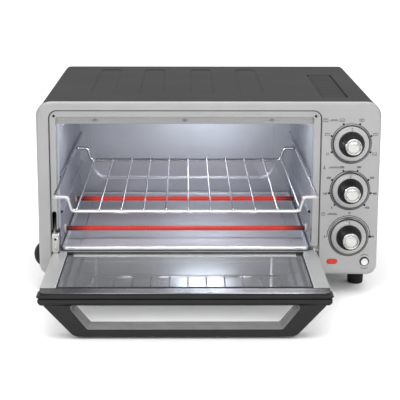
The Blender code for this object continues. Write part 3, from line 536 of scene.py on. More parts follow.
def tube(bm, path, radius, sides=12, closed=False):
    """A round wire along a path, with domed ends unless it is closed."""
    count = len(path)
    tangents = []
    for i in range(count):
        ahead = path[(i + 1) % count] if closed or i < count - 1 else path[i]
        behind = path[i - 1] if closed or i > 0 else path[i]
        tangents.append((ahead - behind).normalized())
    normal = tangents[0].orthogonal().normalized()
    rings = []
    for centre, tangent in zip(path, tangents):
        normal = (normal - tangent * normal.dot(tangent)).normalized()
        side = tangent.cross(normal)
        rings.append([centre + (normal * math.cos(a) + side * math.sin(a)) * radius
                      for a in (2 * math.pi * k / sides for k in range(sides))])
    if closed:
        turn_back = min(range(sides), key=lambda k: (rings[0][k] - rings[-1][0]).length)
        rings.append(rings[0][turn_back:] + rings[0][:turn_back])
        loft(bm, rings)
        bmesh.ops.remove_doubles(bm, verts=bm.verts, dist=MERGE)
        return
    for end, ring, way in ((0, rings[0], -1), (-1, rings[-1], 1)):
        dome = []
        for share in (0.35, 0.7, 0.92):
            lift = tangents[end] * (way * radius * share * 0.6)
            width = math.sqrt(1 - share ** 2)
            dome.append([path[end] + lift + (p - path[end]) * width for p in ring])
        rings = dome[::-1] + rings if end == 0 else rings + dome
    loft(bm, rings, cap_start=True, cap_end=True)


def punch(name, outline, place, low, high):
    """A cutting body: an outline drawn out from low to high."""
    return placed(name, made(slab, outline, place, low, high, 0.0001))


def notch(name, x, y, z):
    """A cutting body: a box."""
    return placed(name, made(block, x, y, z, 0.0002))


def shell(name, bm, look, body, replaces, thickness, offset=-1.0, cutters=(), smooth=35.0):
    """A sheet-metal piece: an open surface thickened, then cut; the cutters are used up."""
    obj = piece(name, bm, look, body, replaces, smooth)
    solid = obj.modifiers.new("thickness", "SOLIDIFY")
    solid.thickness = thickness
    solid.offset = offset
    solid.use_even_offset = True
    for cutter in cutters:
        cut = obj.modifiers.new(cutter.name, "BOOLEAN")
        cut.object = cutter
        cut.use_self = True
    bpy.context.view_layer.update()
    graph = bpy.context.evaluated_depsgraph_get()
    mesh = bpy.data.meshes.new_from_object(obj.evaluated_get(graph))
    obj.modifiers.clear()
    obj.data = mesh
    for cutter in cutters:
        bpy.data.objects.remove(cutter, do_unlink=True)
    shade(obj.data, smooth)


def pill(centre, half_length, radius, steps=10):
    """Outline of a pill lying along the first axis."""
    straight = half_length - radius
    right = arc((centre[0] + straight, centre[1]), radius, -90, 90, steps)
    return right + arc((centre[0] - straight, centre[1]), radius, 90, 270, steps)


def middle_of(node):
    """Middle of a CAD node's box, in oven coordinates."""
    low, high = span(node)
    return (low + high) / 2


# ---------------------------------------------------------------- cabinet
def make_bezel():
    """Pressed silver front: rolled outer edge, stamped seat for the door and its openings."""
    outer = (-HALF_WIDTH, HALF_WIDTH, Z0, Z1)
    corners = (CORNER_BOTTOM, CORNER_TOP)
    back = span("front_bezel")[1].y
    step, lip, sheet = 0.0008, 0.0006, 0.0006      # radii of the seat and the mouth, and the sheet
    wrap_gap = 0.0002                              # the wrap's lip stands proud of the bezel's side by this
    lip_rings = ((wrap_gap, ROLL + 0.0005), (0.0, ROLL + 0.0007), (0.0, back - 0.0002), (wrap_gap, back))
    lip_rings = [at_y(inset(outer, distance, *corners), y) for distance, y in lip_rings]
    piece("wrap_lip", made(loft, lip_rings), "wrap", "cabinet")
    loops = [at_y(inset(outer, wrap_gap, *corners), y) for y in (back, ROLL + 0.0009)]
    loops += onto_face(at_y, outer, corners, ROLL, 0.0, steps=6)
    loops += into_hole(at_y, RECESS, SEAT_CORNERS, step, 0.0)
    loops += onto_face(at_y, RECESS, SEAT_CORNERS, step, RECESS_DEPTH, -1)
    loops += into_hole(at_y, MOUTH, MOUTH_CORNERS, lip, RECESS_DEPTH)
    loops.append(at_y(inset(MOUTH, 0, *MOUTH_CORNERS), 0.0075))
    low, high = -0.003, 0.016                      # reach of the cutters
    seat = RECESS[0] + 0.0002
    wall = span("cavity_left_wall")[0].x + 0.0003
    lamp, button = middle_of("indicator_lens"), middle_of("reset_button")
    link_slot = rounded(-0.1987, -0.1930, Z0 + 0.0570, Z0 + 0.0830, 0.001, 0.0024, 5)
    cuts = [
        notch("cut_hinges", (seat, RECESS[1] - 0.0002), (0.0012, high), (Z0 + 0.0158, HINGE_TOP)),
        notch("cut_arm", (seat, wall), (0.0012, high), (Z0 + 0.0300, Z0 + 0.0590)),
        punch("cut_slot", link_slot, at_y, low, high),
        punch("cut_lamp", pill((lamp.x, lamp.z), 0.0070, 0.00345), at_y, low, high),
        punch("cut_button", circle((button.x, button.z), 0.0061, 45), at_y, low, high),
    ]
    for centre in KNOB_CENTRES.values():
        cuts.append(punch("cut_shaft", circle(centre, 0.0045, 24), at_y, low, high))
    for side in ("left", "right"):
        bumper = middle_of(f"door_bumper_{side}")
        cuts.append(punch("cut_bumper", circle((bumper.x, bumper.z), 0.0017, 24), at_y, low, high))
    shell("bezel", made(loft, loops), "bezel", "cabinet", ("front_bezel",), sheet,
          cutters=cuts)


def make_seat_shadow_line():
    """Painted shadow: a dark ribbon round the foot of the seat, for the shade in its step; left out where
    the hinges pass.
    """
    raised = RECESS_DEPTH - 0.0002
    rings = ((0.0002, RECESS_DEPTH), (0.0003, raised), (0.0010, raised), (0.0011, RECESS_DEPTH))
    rings = [at_y(inset(RECESS, distance, *SEAT_CORNERS), y) for distance, y in rings]
    left, right, through = RECESS[0] - 0.001, RECESS[1] + 0.001, (0.0, 0.006)
    cuts = (notch("cut_shadow_line", (left, right), through, (Z0 + 0.010, HINGE_TOP)),
            notch("cut_shadow_line_arm", (left, RECESS[0] + 0.004), through, (Z0 + 0.0360, Z0 + 0.0425)))
    shell("seat_shadow_line", made(loft, rings), "gasket", "cabinet", (), 0.0001, 0.0, cuts)


RIBS_X = (-0.1380, -0.0735, -0.0070, 0.0585)     # middles of the pressed panels on the top
RIB_HALF = 0.0150        # half their width
RIB_Y = (0.0770, 0.3140)
RIB_DEPTH = 0.0013
RIB_EDGE = 0.0028        # width of the slope round a panel
RIB_CORNER = 0.011
WRAP_CROWN = 0.0013      # rise of the top towards the rear
CROWN_Y = (0.020, 0.340)
VENT_X = (0.1452, 0.1800)
VENT_Y = (0.0460, 0.2560)
LOUVRES = 10
VENT_DEPTH = 0.0022      # depth of the slots under the louvres
VENT_END = 0.0035        # length over which a louvre rises from its end
BLADE_RISE = 0.72        # share of a louvre's pitch over which it rises
BLADE_FALL = 0.84        # share of its pitch at which it starts to drop


def plateau(x, y, x_span, y_span, corner, edge):
    """1 inside a rounded rectangle, falling smoothly to 0 across its edge."""
    middle_x, middle_y = sum(x_span) / 2, sum(y_span) / 2
    dx = abs(x - middle_x) - (x_span[1] - x_span[0]) / 2 + corner
    dy = abs(y - middle_y) - (y_span[1] - y_span[0]) / 2 + corner
    distance = math.hypot(max(dx, 0.0), max(dy, 0.0)) + min(max(dx, dy), 0.0) - corner
    t = min(max(0.5 - distance / edge, 0.0), 1.0)
    return t * t * (3 - 2 * t)


def wrap_relief(x, y):
    """Height of the pressed panels and of the louvre panel on the top of the wrap."""
    height = 0.0
    for middle in RIBS_X:
        across = (middle - RIB_HALF, middle + RIB_HALF)
        height -= RIB_DEPTH * plateau(x, y, across, RIB_Y, RIB_CORNER, RIB_EDGE)
    share = (y - VENT_Y[0]) / (VENT_Y[1] - VENT_Y[0]) * LOUVRES
    if not (VENT_X[0] < x < VENT_X[1] and 0 < share < LOUVRES):
        return height
    fall = share % 1.0
    if fall < BLADE_RISE:
        lift = fall / BLADE_RISE
    else:
        lift = min((1.0 - fall) / (1.0 - BLADE_FALL), 1.0)
    from_end = min(x - VENT_X[0], VENT_X[1] - x)
    return height - VENT_DEPTH + VENT_DEPTH * lift * min(from_end / VENT_END, 1.0) ** 2


def lines(low, high, coarse, details):
    """Sorted grid lines: a coarse row, and a fine row in each (from, to, count) of details."""
    count = max(int(math.ceil((high - low) / coarse)), 1)
    found = {round(low + (high - low) * i / count, 6) for i in range(count + 1)}
    for start, end, steps in details:
        found |= {round(start + (end - start) * i / steps, 6) for i in range(steps + 1)}
    kept = []
    for value in sorted(found):
        if low - 1e-6 <= value <= high + 1e-6 and (not kept or value - kept[-1] > 0.00025):
            kept.append(value)
    kept[0], kept[-1] = low, high
    return kept


def make_wrap():
    """Black wrap: sides and top in one sheet, with embossed ribs and a louvred vent on top."""
    half, top, bottom = WRAP_HIGH.x, WRAP_HIGH.z, WRAP_LOW.z
    corner, low_corner, hem = 0.0100, 0.0105, 0.1780
    flat = half - corner
    details = []
    for middle in RIBS_X:
        for edge in (middle - RIB_HALF, middle + RIB_HALF):
            details.append((edge - RIB_EDGE, edge + RIB_EDGE, 8))
        details.append((middle - RIB_HALF, middle - RIB_HALF + 0.008, 6))
        details.append((middle + RIB_HALF - 0.008, middle + RIB_HALF, 6))
    for edge in VENT_X:
        details.append((edge - 0.0050, edge + 0.0050, 12))
    across = lines(-flat, flat, 0.010, details)
    profile = [(-hem, bottom)]
    profile += arc((-half + low_corner, bottom + low_corner), low_corner, 270, 180, 8)
    profile += arc((-half + corner, top - corner), corner, 180, 90, 10)
    profile += [(x, top) for x in across[1:]]
    profile += arc((half - corner, top - corner), corner, 90, 0, 10)[1:]
    profile += arc((half - low_corner, bottom + low_corner), low_corner, 0, -90, 8)
    profile += [(hem, bottom)]
    details = [(edge - 0.007, edge + 0.007, 16) for edge in RIB_Y]
    blades = (VENT_Y[1] - VENT_Y[0]) / LOUVRES
    for index in range(LOUVRES):
        start = VENT_Y[0] + blades * index
        crest = start + BLADE_RISE * blades
        details += [(start, crest, 4), (crest, start + blades, 6)]
    details += [(VENT_Y[0] - 0.006, VENT_Y[0], 6), (VENT_Y[1], VENT_Y[1] + 0.006, 6)]
    rows = lines(WRAP_LOW.y, WRAP_HIGH.y, 0.012, details)
    rings = []
    for y in rows:
        ring = []
        for x, z in profile:
            raised = wrap_relief(x, y) if z >= top - 1e-6 else 0.0
            rise = min(max((y - CROWN_Y[0]) / (CROWN_Y[1] - CROWN_Y[0]), 0.0), 1.0)
            raised += WRAP_CROWN * rise * max((z - top) / corner + 1.0, 0.0)
            ring.append((x, y, z + raised))
        rings.append(ring)
    shell("wrap", made(loft, rings, closed=False), "wrap", "cabinet", ("outer_wrap",),
          0.0008, smooth=50.0)


def pan_screw(bm, matrix, radius=0.0032):
    """Pan-head screw with a cross recess; its height is along the matrix's +Z."""
    head = [(0.0, radius * 0.55), (radius * 0.5, radius * 0.50), (radius * 0.85, radius * 0.32),
            (radius, radius * 0.08), (radius, 0.0)]
    turned(bm, head, matrix, 20)
    for angle in (0, 90):
        arm = bmesh.new()
        block(arm, (-radius * 0.55, radius * 0.55), (-radius * 0.10, radius * 0.10),
              (radius * 0.40, radius * 0.60), radius * 0.04)
        bmesh.ops.transform(arm, matrix=matrix @ Matrix.Rotation(math.radians(angle), 4, "Z"),
                            verts=arm.verts)
        joined(bm, arm)


def joined(bm, other):
    """Add another bmesh's faces to bm."""
    mesh = bpy.data.meshes.new("part")
    other.to_mesh(mesh)
    other.free()
    bm.from_mesh(mesh)
    bpy.data.meshes.remove(mesh)


def make_screws():
    """Screws that hold the rear panel."""
    low, high = span("rear_panel")
    rows = (low.z + 0.012, high.z - 0.012)
    places = [(x, z) for x in (-0.196, -0.070, 0.070, 0.196) for z in rows]
    places += [(x, z) for z in (0.09, 0.17) for x in (-0.204, 0.204)]
    bm = bmesh.new()
    for x, z in places:
        pan_screw(bm, backing(x, high.y, z))
    piece("rear_screws", bm, "hinge", "cabinet")


def make_feet():
    """Rubber feet: a ring under the base, a taper and a hollow sole."""
    for node in [f"{end}_{side}_foot" for end in ("front", "rear") for side in ("left", "right")]:
        low, high = span(node)
        middle = middle_of(node)
        radius = (high.x - low.x) / 2
        profile = [(0.0, high.z), (radius * 0.93, high.z), (radius, high.z - 0.0008)]
        profile += [(radius, high.z - 0.0028), (radius * 0.955, high.z - 0.0034)]
        profile += [(radius * 0.86, 0.0030), (radius * 0.85, 0.0016), (radius * 0.80, 0.0004),
                    (radius * 0.74, 0.0), (radius * 0.45, 0.0), (radius * 0.42, 0.0010), (0.0, 0.0010)]
        piece(f"{node}_rubber", made(turned, profile, upright(middle.x, middle.y, 0.0), 40),
              "rubber", "cabinet", (node,), 28.0)


def make_side_bumper():
    """Domed rubber bumper low on the left side."""
    low, high = span("side_bumper")
    radius, height = (high.z - low.z) / 2, high.x - low.x
    middle = middle_of("side_bumper")
    profile = [(radius * math.cos(math.radians(a)), height * math.sin(math.radians(a)))
               for a in range(90, -1, -6)]
    profile[0] = (0.0, height)
    dome = made(turned, profile + [(0.0, 0.0)], sideways(high.x, middle.y, middle.z, -1), 40)
    piece("side_bumper_rubber", dome, "rubber", "cabinet", ("side_bumper",))


def make_inlet():
    """Rubber gland in the rear panel where the supply lead would enter."""
    low, high = span("cord_inlet")
    middle = middle_of("cord_inlet")
    radius = (high.x - low.x) / 2
    face = span("rear_panel")[1].y
    height = high.y - face
    bore = radius * 0.40
    profile = [(bore, height), (radius * 0.60, height), (radius * 0.66, height - 0.0006),
               (radius * 0.72, height * 0.62), (radius * 0.96, height * 0.50), (radius, height * 0.42),
               (radius, 0.0003), (radius * 0.64, 0.0003), (radius * 0.64, low.y - face),
               (bore, low.y - face), (bore, height)]
    piece("inlet_gland", made(turned, profile, backing(middle.x, face, middle.z), 40), "rubber",
          "cabinet", ("cord_inlet",), 28.0)


# ---------------------------------------------------------------- cooking chamber
HEATERS = [f"{level}_{end}_heater" for level in ("lower", "upper") for end in ("front", "rear")]
CHAMBER_SHEET = 0.0007


def rail(z, reach):
    """Section of one stamped rail, as (distance out of the wall, z), bottom to top."""
    foot = z - 0.0064
    points = [(0.0, foot)]
    points += [(reach * share, foot + 0.0026 * share) for share in (0.15, 0.5, 0.85)]
    points += [(reach, z - 0.0030), (reach, z - 0.0008), (reach * 0.93, z - 0.0002)]
    points += [(reach * 0.80, z), (reach * 0.20, z), (0.0, z + 0.0003)]
    return points


def make_side_walls():
    """Side walls of the chamber, each with two stamped rails and punched holes for the rods."""
    rods = [middle_of(node) for node in HEATERS]
    rail_levels, reach = (Z0 + 0.0838, Z0 + 0.1288), 0.0045
    for side, way in (("left", 1), ("right", -1)):
        node = f"cavity_{side}_wall"
        low, high = span(node)
        inner = low.x + CHAMBER_SHEET if way > 0 else high.x - CHAMBER_SHEET
        foot = low.z + CHAMBER_SHEET
        section = [(inner + way * 0.0080, foot), (inner + way * 0.0012, foot)]
        section += [(inner + way * 0.0003, foot + 0.0004), (inner, foot + 0.0014)]
        for level in rail_levels:
            section += [(inner + way * out, z) for out, z in rail(level, reach)]
        section += [(inner, high.z - 0.02), (inner, high.z)]
        ends = [low.y + (high.y - low.y) * i / 6 for i in range(7)]
        wall = made(loft, [at_y(section, y) for y in ends], closed=False)
        across = sorted((inner - way * 0.0036, inner + way * 0.0003))
        flange = rounded(*across, Z0 + 0.0600, high.z + 0.0010, 0.0004, 0.0004, 3)
        piece(f"chamber_{side}_flange", made(slab, flange, at_y, low.y - 0.0010, low.y, 0.0003),
              "chamber", "cabinet")
        through = (inner - 0.02, inner + 0.02)
        cuts = [notch("cut_front", through, (0.0, 0.0215), (Z0 + 0.02, Z0 + 0.0365))]
        cuts += [punch("cut_rod", circle((rod.y, rod.z), 0.0042, 30), at_x, *through) for rod in rods]
        shell(f"chamber_{side}_wall", wall, "chamber", "cabinet", (node,),
              CHAMBER_SHEET, 1.0, cuts)


def make_rear_wall():
    """Rear wall of the chamber with its large embossed panel."""
    low, high = span("cavity_rear_wall")
    outer = (low.x, high.x, low.z, high.z)
    emboss = (-0.1700, 0.1060, Z0 + 0.0560, Z0 + 0.2005)
    depth, slope = 0.0015, 0.0040
    loops = [at_y(inset(outer, distance, 0.001, 0.001), low.y) for distance in (0, 0.002)]
    for i in range(9):
        share = i / 8
        smooth = share * share * (3 - 2 * share)
        loops.append(at_y(inset(emboss, slope * share, 0.022, 0.004), low.y + depth * smooth))
    loops.append(at_y(inset(emboss, 0.04, 0.002, 0.002), low.y + depth))
    shell("chamber_rear_wall", made(loft, loops, cap_end=True), "chamber", "cabinet",
          ("cavity_rear_wall",), CHAMBER_SHEET, 1.0)


def make_ceiling():
    """Ceiling of the chamber, with a riveted front flange."""
    low, high = span("cavity_ceiling")
    bend = 0.0015
    section = [(low.y + 0.0006, low.z), (low.y + 0.0002, low.z + 0.0006), (low.y + 0.0002, low.z + 0.006)]
    section += arc((low.y + bend, high.z - bend), bend, 180, 90, 6)
    section += [(low.y + 0.05, high.z), (high.y, high.z)]
    xs = [low.x + (high.x - low.x) * i / 8 for i in range(9)]
    sheet = made(loft, [at_x(section, x) for x in xs], closed=False)
    shell("chamber_ceiling", sheet, "chamber", "cabinet", ("cavity_ceiling",), CHAMBER_SHEET)
    bm = bmesh.new()
    head = [(0.0, 0.0008), (0.0010, 0.0007), (0.0018, 0.0003), (0.0021, 0.0)]
    for x in (-0.1426, -0.0298, 0.0794):
        for shift, size in ((-0.0030, 0.5), (0.0, 1.0), (0.0030, 0.5)):
            place = facing(x + shift, low.y - 0.0008, low.z + 0.0050)
            turned(bm, [(radius * size, height * size) for radius, height in head], place, 20)
    piece("ceiling_rivets", bm, "liner", "cabinet")
    lip = rounded(MOUTH[0] + 0.0006, MOUTH[1] - 0.0006, low.z + 0.0001, MOUTH[3] - 0.0001, 0.0004, 0.0026, 5)
    piece("ceiling_lip", made(slab, lip, at_y, low.y - 0.0008, low.y + 0.0002, 0.0003), "lip", "cabinet")


def make_tray():
    """Crumb tray: a shallow pan with a rolled rim and a stamped floor."""
    low, high = span("crumb_tray")
    roll, floor = 0.0011, low.z + 0.0006
    field = floor + 0.0007                         # raised middle of the floor

    def loop(distance, level, corner=0.004):
        return at_z(inset((low.x, high.x, low.y, high.y), distance, corner, corner), level)

    loops = [loop(0.0003, low.z + 0.0001), loop(0.0001, high.z - 0.0024)]
    loops += [loop(roll * (1 - math.cos(a)), high.z - roll + roll * math.sin(a))
              for a in (math.radians(30 * i) for i in range(7))]
    loops += [loop(0.0024, floor + 0.0012), loop(0.0034, floor + 0.0002), loop(0.0050, floor)]
    loops += [loop(0.0200, floor, 0.006), loop(0.0220, field, 0.006), loop(0.0900, field, 0.006)]
    shell("tray_pan", made(loft, loops, cap_end=True), "tray", "tray", ("crumb_tray",), 0.0005)
    # The lip's bright steel, much lighter than the tray sheet, is a painted highlight on the tray's front
    # edge.
    lip = rounded(low.y - 0.0004, low.y + 0.0022, low.z + 0.0002, high.z, 0.0010, 0.0012, 5)
    piece("tray_lip", made(slab, lip, at_x, low.x + 0.004, high.x - 0.004, 0.0004), "tray_lip", "tray")


def make_heaters():
    """Glowing rods, and ceramic bushes where they pass the walls."""
    for node in HEATERS:
        low, high = span(node)
        middle, name = middle_of(node), node.removesuffix("_heater")
        radius, half = (high.z - low.z) / 2, (high.x - low.x) / 2
        neck = radius * 0.96
        profile = [(0.0, half), (radius * 0.86, half), (radius, half - 0.0006), (radius, half - 0.010)]
        profile += [(neck, half - 0.0104), (neck, -half + 0.0104)]
        profile += [(radius, -half + 0.010), (radius, -half + 0.0006), (radius * 0.86, -half), (0.0, -half)]
        rod = made(turned, profile, sideways(middle.x, middle.y, middle.z, 1), 28)
        piece(f"{name}_rod", rod, "glow", "cabinet", (node,), 28.0)
        bore = radius + 0.0002
        bush = [(bore, 0.0024), (radius + 0.0012, 0.0024), (radius + 0.0022, 0.0018),
                (radius + 0.0026, 0.0003), (bore, 0.0003), (bore, 0.0024)]
        for side, x, way in (("left", -0.1885, 1), ("right", 0.1305, -1)):
            ring = made(turned, bush, sideways(x, middle.y, middle.z, way), 28)
            piece(f"{name}_{side}_bush", ring, "ceramic", "cabinet", (), 28.0)


def make_rack():
    """Chrome rack: one bent frame wire with raised ears, and cross wires bent over its bars."""
    low, high = span("wire_rack")
    wire, cross = 0.0020, 0.0011                   # radii
    ear, bar_level = high.z - wire, low.z + wire + 0.00015
    left, right = low.x + wire, high.x - wire
    front, back = low.y + wire, high.y - wire
    drop_top, drop_foot = 0.0165, 0.0215
    corners = []
    for y, order in ((front, 1), (back, -1)):
        end = [(left, y, ear), (left + drop_top, y, ear), (left + drop_foot, y, bar_level),
               (right - drop_foot, y, bar_level), (right - drop_top, y, ear), (right, y, ear)]
        corners += end[::order]
    bm = made(tube, bent(corners, 0.0055, 7, closed=True), wire, 16, closed=True)
    count, pitch = 11, 0.0261
    middle = (left + right) / 2 + 0.0030
    rest, foot = bar_level + wire + cross - 0.0004, bar_level + 0.0004
    over = wire + cross - 0.0003
    weld = [(0.0, 0.0006), (0.0012, 0.0004), (0.0019, -0.0006), (0.0012, -0.0020), (0.0, -0.0022)]
    for index in range(count):
        x = middle + pitch * (index - (count - 1) / 2)
        path = [(front - over, foot), (front - over, rest - 0.0003), (front + 0.0015, rest),
                (back - 0.0015, rest), (back + over, rest - 0.0003), (back + over, foot)]
        path = [(x, min(max(y, low.y + cross), high.y - cross), z) for y, z in path]
        tube(bm, bent(path, 0.0012, 4), cross, 10)
        for y in (front, back):
            turned(bm, weld, upright(x, y, rest + 0.0002), 10)
    piece("rack_wires", bm, "chrome", "rack", ("wire_rack",), 60.0)


# ---------------------------------------------------------------- door
DOOR_LOW, DOOR_HIGH = span("door_inner_frame")
WINDOW = (-0.1795, 0.1198, -0.1505, -0.0010)     # opening of the inner frame
SIGHT = (-0.1700, 0.1105, -0.1440, -0.0120)      # opening of the outer frame


def make_door_frames():
    """Folded outer frame and the inner frame with its rolled edges round the glass."""
    outer = (DOOR_LOW.x, DOOR_HIGH.x, DOOR_LOW.y, DOOR_HIGH.y)
    corners, opening = (0.002, 0.004), (0.003, 0.003)      # corner radii
    bottom, seam = (corner.z for corner in span("door_frame"))
    top, fold = DOOR_HIGH.z, 0.0015
    loops = [at_z(inset(outer, 0, *corners), level) for level in (seam, bottom + fold)]
    loops += onto_face(at_z, outer, corners, fold, bottom)
    loops += into_hole(at_z, SIGHT, opening, 0.001, bottom)
    loops.append(at_z(inset(SIGHT, 0, *opening), span("door_glass")[0].z - 0.0003))
    shell("door_outer_pressing", made(loft, loops), "door_steel", "door",
          ("door_frame",), SHEET)
    loops = [at_z(inset(outer, 0, *corners), top - 0.0010)]
    loops += onto_face(at_z, outer, corners, 0.0009, top, -1)
    loops += into_hole(at_z, WINDOW, opening, 0.0008, top, -1)
    loops.append(at_z(inset(WINDOW, 0, *opening), top - 0.0012))
    shell("door_inner_pressing", made(loft, loops), "door_steel", "door",
          ("door_inner_frame",), 0.0004)


def make_glass():
    """Tempered glass, its rubber gasket and the bright beads at its sides."""
    low, high = span("door_glass")
    pane = rounded(low.x, high.x, low.y, high.y, 0.004, 0.002, 6)
    piece("glass_pane", made(slab, pane, at_z, low.z, high.z, 0.0008), "glass", "door",
          ("door_glass",))
    level, top, width = high.z, DOOR_HIGH.z + 0.0002, 0.0009
    x0, x1, y0, y1 = WINDOW
    bm = bmesh.new()
    for x in ((x0, x0 + width), (x1 - width, x1)):
        block(bm, x, (y0, y1), (level, top), 0.0003)
    for y in ((y0, y0 + width), (y1 - width, y1)):
        block(bm, (x0, x1), y, (level, top), 0.0003)
    block(bm, (DOOR_LOW.x + 0.001, DOOR_HIGH.x - 0.001), (DOOR_LOW.y - 0.0013, DOOR_LOW.y + 0.0002),
          (level, top + 0.0002), 0.0003)
    block(bm, (x0, x1), (DOOR_LOW.y, y0 + 0.0002), (top - 0.0004, top + 0.0002), 0.0002)
    piece("glass_gasket", bm, "gasket", "door")
    bm = bmesh.new()
    for x in ((x0 - 0.0012, x0 - 0.0002), (x1 + 0.0002, x1 + 0.0014)):
        block(bm, x, (y0, y1), (top - 0.0010, top + 0.0003), 0.0003)
    piece("window_beads", bm, "tray_lip", "door")


def make_clips():
    """Rubber pads that hold the glass."""
    for node in ("glass_clip_left", "glass_clip_right"):
        low, high = span(node)
        pad = made(block, (low.x, high.x), (low.y, high.y), (DOOR_HIGH.z - 0.0002, high.z), 0.0002)
        piece(f"{node}_pad", pad, "rubber", "door", (node,))


def make_trim():
    """Plastic cap on the free edge, wider in the middle of its height, with a bright strip on it."""
    low, high = span("door_trim")
    step = Z0 + 0.0280
    sections = (                                   # distance in from the sides, level, corner radius
        (0.0034, low.z, 0.0008), (0.0024, low.z + 0.0003, 0.0010), (0.0003, low.z + 0.0021, 0.0012),
        (0.0, low.z + 0.0026, 0.0012), (0.0002, low.z + 0.0031, 0.0014), (0.0016, step - 0.0002, 0.0020),
        (0.0020, step, 0.0024), (0.0024, step + 0.0001, SEAT_CORNER), (0.0024, high.z - 0.0006, SEAT_CORNER),
        (0.0028, high.z - 0.0001, SEAT_CORNER))
    rings = [at_z(rounded(low.x + distance, high.x - distance, low.y + distance * 0.35, high.y,
                          radius, 0.0006, 8), level) for distance, level, radius in sections]
    piece("trim_cap", made(loft, rings, cap_start=True, cap_end=True), "plastic", "door",
          ("door_trim",), 40.0)
    low, high = span("door_trim_strip")
    strip = rounded(low.x, high.x, low.y, high.y, 0.0070, 0.0010, 8)
    piece("trim_strip", made(slab, strip, at_z, low.z, high.z, 0.0003), "strip", "door",
          ("door_trim_strip",))


def corner_path(points, steps=10):
    """Outline through (x, z, radius) corners, each rounded to its radius."""
    path = []
    count = len(points)
    for i, (x, z, radius) in enumerate(points):
        corner = Vector((x, z))
        a = Vector(points[i - 1][:2]) - corner
        b = Vector(points[(i + 1) % count][:2]) - corner
        half = a.angle(b) / 2
        reach = radius / math.tan(half)
        start, end = corner + a.normalized() * reach, corner + b.normalized() * reach
        centre = corner + (a.normalized() + b.normalized()).normalized() * (radius / math.sin(half))
        first = math.atan2(start.y - centre.y, start.x - centre.x)
        last = math.atan2(end.y - centre.y, end.x - centre.x)
        turn = (last - first + math.pi) % (2 * math.pi) - math.pi
        for k in range(steps + 1):
            angle = first + turn * k / steps
            path.append((centre.x + radius * math.cos(angle), centre.y + radius * math.sin(angle)))
    return path


def trapezium(top_half, foot_half, top, foot, top_radius, foot_radius):
    """Corners of an upright trapezium, for corner_path."""
    return ((-top_half, top, top_radius), (-foot_half, foot, foot_radius),
            (foot_half, foot, foot_radius), (top_half, top, top_radius))


def make_handle():
    """Trapezium handle: a flat dark face, sloped inner faces and rounded lower corners."""
    low, high = span("door_handle")
    middle = (low.x + high.x) / 2
    face, rear, bottom = low.y, high.y, low.z
    top, sill, edge = Z0 + 0.0179, bottom + 0.0092, 0.0012
    outer = trapezium(0.1640, 0.1278, top, bottom, 0.0015, 0.0150)
    inner = trapezium(0.1352, 0.1120, top - 0.0012, sill, 0.0040, 0.0040)
    throat = trapezium(0.1322, 0.1100, top - 0.0014, sill + 0.0016, 0.0030, 0.0030)

    def ring(corners, grow, y):
        x_scale = 1 + grow / 0.13
        centre = (top + bottom) / 2
        z_scale = 1 + grow / (top - centre)
        moved = [(middle + x * x_scale, centre + (z - centre) * z_scale, radius) for x, z, radius in corners]
        return at_y(corner_path(moved), y)

    mouth = ring(inner, edge * 0.4, face + edge * 0.3)
    liner = [ring(throat, edge * 0.5, rear), ring(throat, 0.0, rear - edge * 0.5),
             ring(inner, 0.0, face + edge), mouth]
    piece("handle_liner", made(loft, liner), "liner", "door")
    rings = [mouth, ring(inner, edge, face)]
    for i in range(4):
        angle = math.radians(30 * i)
        rings.append(ring(outer, -edge * (1 - math.sin(angle)), face + edge * (1 - math.cos(angle))))
    rings += [ring(outer, 0.0, rear - edge), ring(outer, -edge, rear), ring(throat, edge * 0.5, rear)]
    piece("handle_bar", made(loft, rings), "plastic", "door", ("door_handle",), 30.0)
    trim_foot = span("door_trim")[0].z
    base_top = trim_foot - 0.0008
    levels = ((0.0030, top - 0.0016), (0.0012, top - 0.0004), (0.0004, top + 0.0008),
              (0.0, top + 0.0020), (0.0, base_top - 0.0006), (0.0006, base_top))
    rings = [at_z(rounded(low.x + distance, high.x - distance, face + min(distance, 0.0006), rear - 0.0040,
                          0.0014, 0.0006, 6), level) for distance, level in levels]
    piece("handle_base", made(loft, rings, cap_start=True, cap_end=True), "plastic", "door",
          (), 30.0)
    seal = made(block, (low.x + 0.004, high.x - 0.004), (face + 0.0035, rear - 0.006),
                (base_top - 0.0008, trim_foot + 0.0006))
    piece("handle_gap_seal", seal, "gasket", "door")


def make_hinge_backs():
    """Steel plates inside the cabinet, behind the notches where the door turns."""
    bm = bmesh.new()
    for x, top, y in (((0.1314, 0.1432), Z0 + 0.0385, 0.0198), ((-0.1938, -0.1893), Z0 + 0.0580, 0.0284)):
        slab(bm, rounded(*x, Z0 + 0.0160, top, 0.0005, 0.0005, 3), at_y, y, y + 0.0010, 0.0003)
    piece("hinge_backs", bm, "tray_lip", "cabinet")


